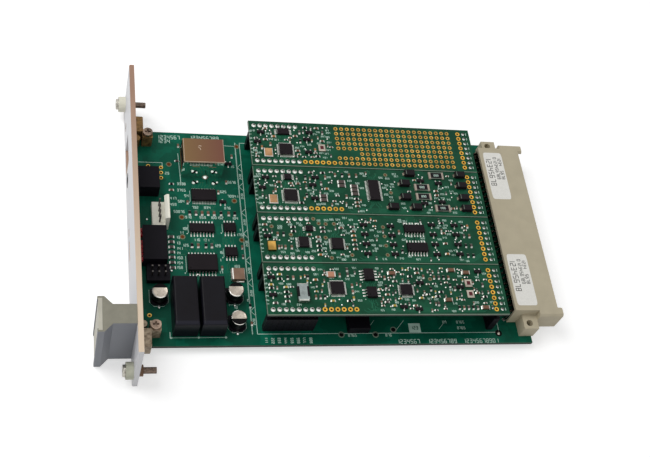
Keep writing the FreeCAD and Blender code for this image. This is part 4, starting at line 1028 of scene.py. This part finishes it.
def fill_zone(parts, ink, module, room, zone, bodies, rng):
    """Small parts, plain labels and solder spots in a zone's free places."""
    x_low, x_high, y_low, y_high, small, labels, spots = zone
    z, corner, opposite = module.top, module.at(x_low, y_low), module.at(x_high, y_high)
    area = (corner[0], opposite[0], corner[1], opposite[1])
    for _ in range(small):
        upright = rng.random() < 0.55
        for x, y in room.places(1, area, *((0.42, 0.8) if upright else (0.8, 0.42)), rng):
            two_terminal(parts, x, y, z, upright, rng.choice(bodies), 1.15, 0.62, 0.45)
    for x, y in room.places(spots, area, 0.4, 0.4, rng):
        parts.solder_dot(x, y, 0.34, z, 0.2)
    for x, y in room.places(labels, area, 1.0, 0.42, rng):
        number(ink, str(rng.randint(100, 899)), x - 0.95, y - 0.38, z, 0.76, stroke=0.19)


def edge_printing(ink, module):
    """Marks beside the end pins, numbers at the front edge, and painted highlights along the board's near
    and left top edges.
    """
    z, low, high = module.top, module.low, module.high
    for index, digit in enumerate("12345678"):
        number(ink, digit, *module.at(-1.3, 1.8 * index - 7.0), z, 0.95, (0, 1))
    for pin in module.pins[-8:]:
        ink.strip([(pin.x + 1.35, pin.y - 0.6), (pin.x + 1.35, pin.y + 0.6)], 0.24, z, SILK)
    near = low.x + 0.1
    # painted highlight along the near and left top edges
    ink.strip([(near, low.y + 0.14), (high.x - 0.1, low.y + 0.14)], 0.28, z, GREY_RING_AND_EDGE_HIGHLIGHT, 0.01)
    ink.strip([(near, low.y + 0.2), (near, high.y - 0.2)], 0.2, z, GREY_RING_AND_EDGE_HIGHLIGHT, 0.01)


def dress_special_parts():
    """Diode leads, resistor ends and values, crystal and coil details."""
    trim = Build()
    z = MODULE_TOP
    for low, high in solids_of("module_diodes"):
        # the lead on the +X side in dim tin is painted shade; the other lead keeps the can-top metal
        for end, edge, lead in ((-1, low.x, CAN_TOP), (1, high.x, DIM_TIN)):
            trim.leg((edge, centre(low, high)[1]), (end, 0), 1.3, z, 0.8, 0.55, lead, DIM_TIN)
        band = (low.x + 0.4, low.x + 0.7), (low.y + 0.2, high.y - 0.2), (high.z - 0.005, high.z + INK)
        trim.slab(*band, DIM_TIN)
    for low, high in solids_of("module_resistors"):
        for ends in ((low.x - 0.15, low.x + 0.8), (high.x - 0.8, high.x + 0.15)):
            trim.slab(ends, (low.y - 0.2, high.y + 0.2), (low.z, high.z + 0.06), PALE_CERAMIC, 0.1)
        for y in (low.y, high.y):
            trim.slab((low.x, high.x), (y - 0.16, y + 0.16), (low.z, high.z + 0.02), DIM_TIN, 0.02)
        x, y = centre(low, high)
        number(trim, "000", x - 1.05, y - 0.45, high.z, 0.9, stroke=0.17)
    for low, high in solids_of("module_crystals"):
        width, depth = (low.x - 0.25, high.x + 0.25), (low.y - 0.25, high.y + 0.25)
        trim.slab(width, depth, (z, high.z - 0.35), SOLDER, 0.1)
    low, high = box_mm("shielded_coil")
    for ends in ((low.y - 0.4, low.y + 0.9), (high.y - 0.9, high.y + 0.4)):
        trim.slab((low.x + 0.2, high.x - 0.2), ends, (z, high.z - 0.3), TINNED, 0.2)
    for ends in ((low.x - 0.02, low.x + 0.75), (high.x - 0.75, high.x + 0.02)):
        trim.slab(ends, (low.y + 1.1, high.y - 1.1), (high.z - 1.2, high.z + 0.02), BLACK_CERAMIC, 0.02)
    x, y = MODULES[3].at(24.4, 6.2)
    trim.block(x, y, 1.9, 1.2, (z, z + 0.9), TINNED, 0.12)
    trim.slab((x - 1.3, x + 1.3), (y - 1.25, y + 1.0), (z, z + 0.96), SALMON, 0.08)
    trim.done("module_trim", "can_metal")


# Connectors

def dress_sockets():
    """Grooves between the ways of the sockets."""
    build = Build()
    for low, high in solids_of("module_sockets"):
        axis = 1 if high.y - low.y > high.x - low.x else 0
        for way in range(1, round((high - low)[axis] / PITCH)):
            for corner in (low, high):
                place = [corner.x, corner.y]
                place[axis] = low[axis] + way * PITCH
                build.block(*place, 0.08, 0.08, (low.z + 0.6, high.z - 0.6), BLACK_INK)
    build.done("socket_trim", "black_moulding")


def dress_rear_connector():
    """Solder at the tails, and two plain labels on the block."""
    build = Build()
    for low, high in solids_of("rear_connector_tails"):
        x, y = centre(low, high)
        build.under_joint(x, y, 0.8, sides=12)
        if high.z > 6.5:
            build.ring(x, y, 0.45, 0.8, CARRIER_TOP, 0.05, SOLDER, SOLDER, 12)
    build.done("rear_connector_joints", "can_metal")

    labels = Build()
    under = box_mm("rear_connector_housing")[1].z
    top = under + 0.06
    for left, right, front, back in ((153.8, 162.6, 13.4, 38.0), (153.5, 162.6, -38.4, -14.2)):
        outline = []
        for step in range(40):
            turn = math.tau * (step + 0.5) / 40
            across, over = (math.copysign(abs(share) ** 0.16, share) / 2
                            for share in (math.cos(turn), math.sin(turn)))
            outline.append(((left + right) / 2 + across * (right - left),
                            (front + back) / 2 + over * (back - front)))
        labels.loft([[(*point, height) for point in outline] for height in (under, top)], LABEL)
        for row, text, height, stroke in ((0.9, "12345678", 2.3, 0.11), (4.4, "0123456789", 1.4, 0.14),
                                          (6.5, "1234  5678", 1.4, 0.14)):
            number(labels, text, left + row, back - 2.6, top, height, (0, -1), stroke, BLACK_INK)
    labels.done("plain_labels", "cream_moulding", smooth=False)


def dress_shell():
    """Folded front lips, side springs, painted highlights along the top edges, and a plain mark drawn in
    the highlight colour on the metal shell.
    """
    build = Build()
    low, high = box_mm("socket_shell")
    shell = FINISH["shell_metal"]
    lip = (low.x - 0.35, low.x + 0.05)
    build.slab(lip, (low.y + 0.5, high.y - 0.5), (high.z - 0.45, high.z - 0.1), shell, 0.1)
    for y in (low.y, high.y):
        build.slab(lip, (y - 0.2, y + 0.2), (0.6, high.z - 0.6), shell, 0.1)
    x, y = low.x + 6.8, centre(low, high)[1] + 1.2
    for line in (((-0.6, 0.9), (0.1, 1.2), (0.6, 0.8)), ((-0.7, 0.5), (0.1, -0.2), (0.3, -1.0))):
        build.strip([(x + dx, y + dy) for dx, dy in line], 0.3, high.z, SHELL_HIGHLIGHT, 0.03)
    build.slab((low.x, high.x), (low.y - 0.02, low.y + 0.4), (high.z - 0.5, high.z + 0.03), SHELL_HIGHLIGHT, 0.1)
    for ends in ((low.x - 0.02, low.x + 0.25), (high.x - 0.25, high.x + 0.02)):
        build.slab(ends, (low.y, high.y), (high.z - 0.3, high.z + 0.02), SHELL_HIGHLIGHT, 0.05)
    for x in (low.x + 5.2, high.x - 4.6):
        build.slab((x - 1.5, x + 1.5), (low.y - 0.12, low.y + 0.02), (2.4, 7.6), shell)
    build.done("shell_trim", "shell_metal")


def dress_lower_side():
    """Solder joints under the carrier for the front connectors and the relays."""
    build = Build()
    for x, y in centres("latch_header_pins") + centres("pin_header_pins"):
        build.under_joint(x, y, 0.85)
    for node in ("front_relay", "rear_relay"):
        low, high = box_mm(node)
        for y in (low.y + 1.6, low.y + 6.7, low.y + 11.8, high.y - 2.0):
            for x in (low.x + 1.1, high.x - 1.1):
                build.under_joint(x, y, 0.9, 1.0)
    for x, y in JACK_RINGS + SHELL_PADS:
        build.under_joint(x, y, 0.8, 0.7)
    for y in LAMP_RESISTORS_Y:
        for x in (7.6, 10.1):
            build.under_joint(x, y, 0.75, 0.8)
    build.done("underside_joints", "can_metal")


# Stage

def seen_directly(tree, strength):
    """strength for camera, glossy and transmission rays, and 0 for the rest."""
    rays = tree.nodes.new("ShaderNodeLightPath").outputs
    total = rays["Is Camera Ray"]
    for name in ("Is Glossy Ray", "Is Transmission Ray"):
        total = reckoned(tree, "MAXIMUM", total, rays[name])
    return reckoned(tree, "MULTIPLY", total, strength)


def put_floor():
    """Pale floor that keeps the object's shadow and reads white where it is seen."""
    reach, z = 3.0, CAD_BOX[0][2] - 0.0001
    mesh = bpy.data.meshes.new("floor")
    mesh.from_pydata([(-reach, -reach, z), (reach, -reach, z), (reach, reach, z), (-reach, reach, z)], [],
                     [(0, 1, 2, 3)])
    floor = placed("floor", mesh)
    material = bpy.data.materials.new("floor")
    material.use_nodes = True
    tree = material.node_tree
    fill(tree, tree.nodes["Principled BSDF"], {
        "Base Color": (0.74, 0.74, 0.74), "Roughness": 0.9, "Specular IOR Level": 0.1,
        "Emission Color": (1, 1, 1), "Emission Strength": seen_directly(tree, 0.5)})
    mesh.materials.append(material)
    floor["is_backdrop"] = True


def light_world(level):
    """White surroundings that light softly and read white where they are seen."""
    world = bpy.data.worlds.new("studio")
    bpy.context.scene.world = world
    world.use_nodes = True
    tree = world.node_tree
    strength = reckoned(tree, "ADD", seen_directly(tree, 1.0 - level), level)
    fill(tree, tree.nodes["Background"], {"Color": (1, 1, 1), "Strength": strength})


def soft_lamp(name, place, size, power):
    """Square area lamp that looks at the carrier."""
    data = bpy.data.lights.new(name, "AREA")
    data.size = size
    data.energy = power
    lamp = placed(name, data)
    lamp.location = place
    lamp.rotation_euler = (Vector((0.08, 0.0, 0.0)) - Vector(place)).to_track_quat("-Z", "Y").to_euler()


def aim_camera():
    """Camera at the photograph's place, found from the card's own sizes."""
    forward = Vector((0.25957, 0.50455, -0.82344))
    right = Vector((0.96555, -0.11944, 0.23119))
    turn = Matrix((right, right.cross(forward), -forward)).transposed().to_4x4()
    data = bpy.data.cameras.new("camera")
    data.sensor_width = 36.0
    data.lens = 58.66
    data.clip_start = 0.01
    camera = placed("camera", data)
    camera.matrix_world = Matrix.Translation(Vector((-35.81, -220.76, 365.96)) * MM) @ turn
    bpy.context.scene.camera = camera


def finish_solids():
    """Gives every CAD node the finish of its material slot, or its own."""
    for entry in frame["record"]["subparts"]:
        node = entry["node"]
        for slot in frame["nodes"][node].material_slots:
            slot.material = OWN_FINISH.get(node, FINISH[entry["material_slot"]])


aim_camera()
put_floor()
light_world(0.42)
soft_lamp("key", (-0.30, 0.16, 0.70), 0.4, 3.0)
soft_lamp("fill", (0.05, -0.65, 0.5), 0.5, 0.4)
finish_solids()
dice = random.Random(7)
dress_carrier(dice)
turn_cans()
dress_capacitors()
print_carrier()
carrier_traces(dice)
for line in MODULES:
    pin_joints(line)
    gold_rings(line)
    dress_module(line, dice)
    module_traces(line, dice)
dress_special_parts()
dress_sockets()
dress_rear_connector()
dress_shell()
dress_lower_side()
bpy.context.scene.view_settings.view_transform = "Standard"
bpy.context.view_layer.update()
[[list(map(float, corner)) for corner in box] for box in (CAD_BOX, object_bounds())]
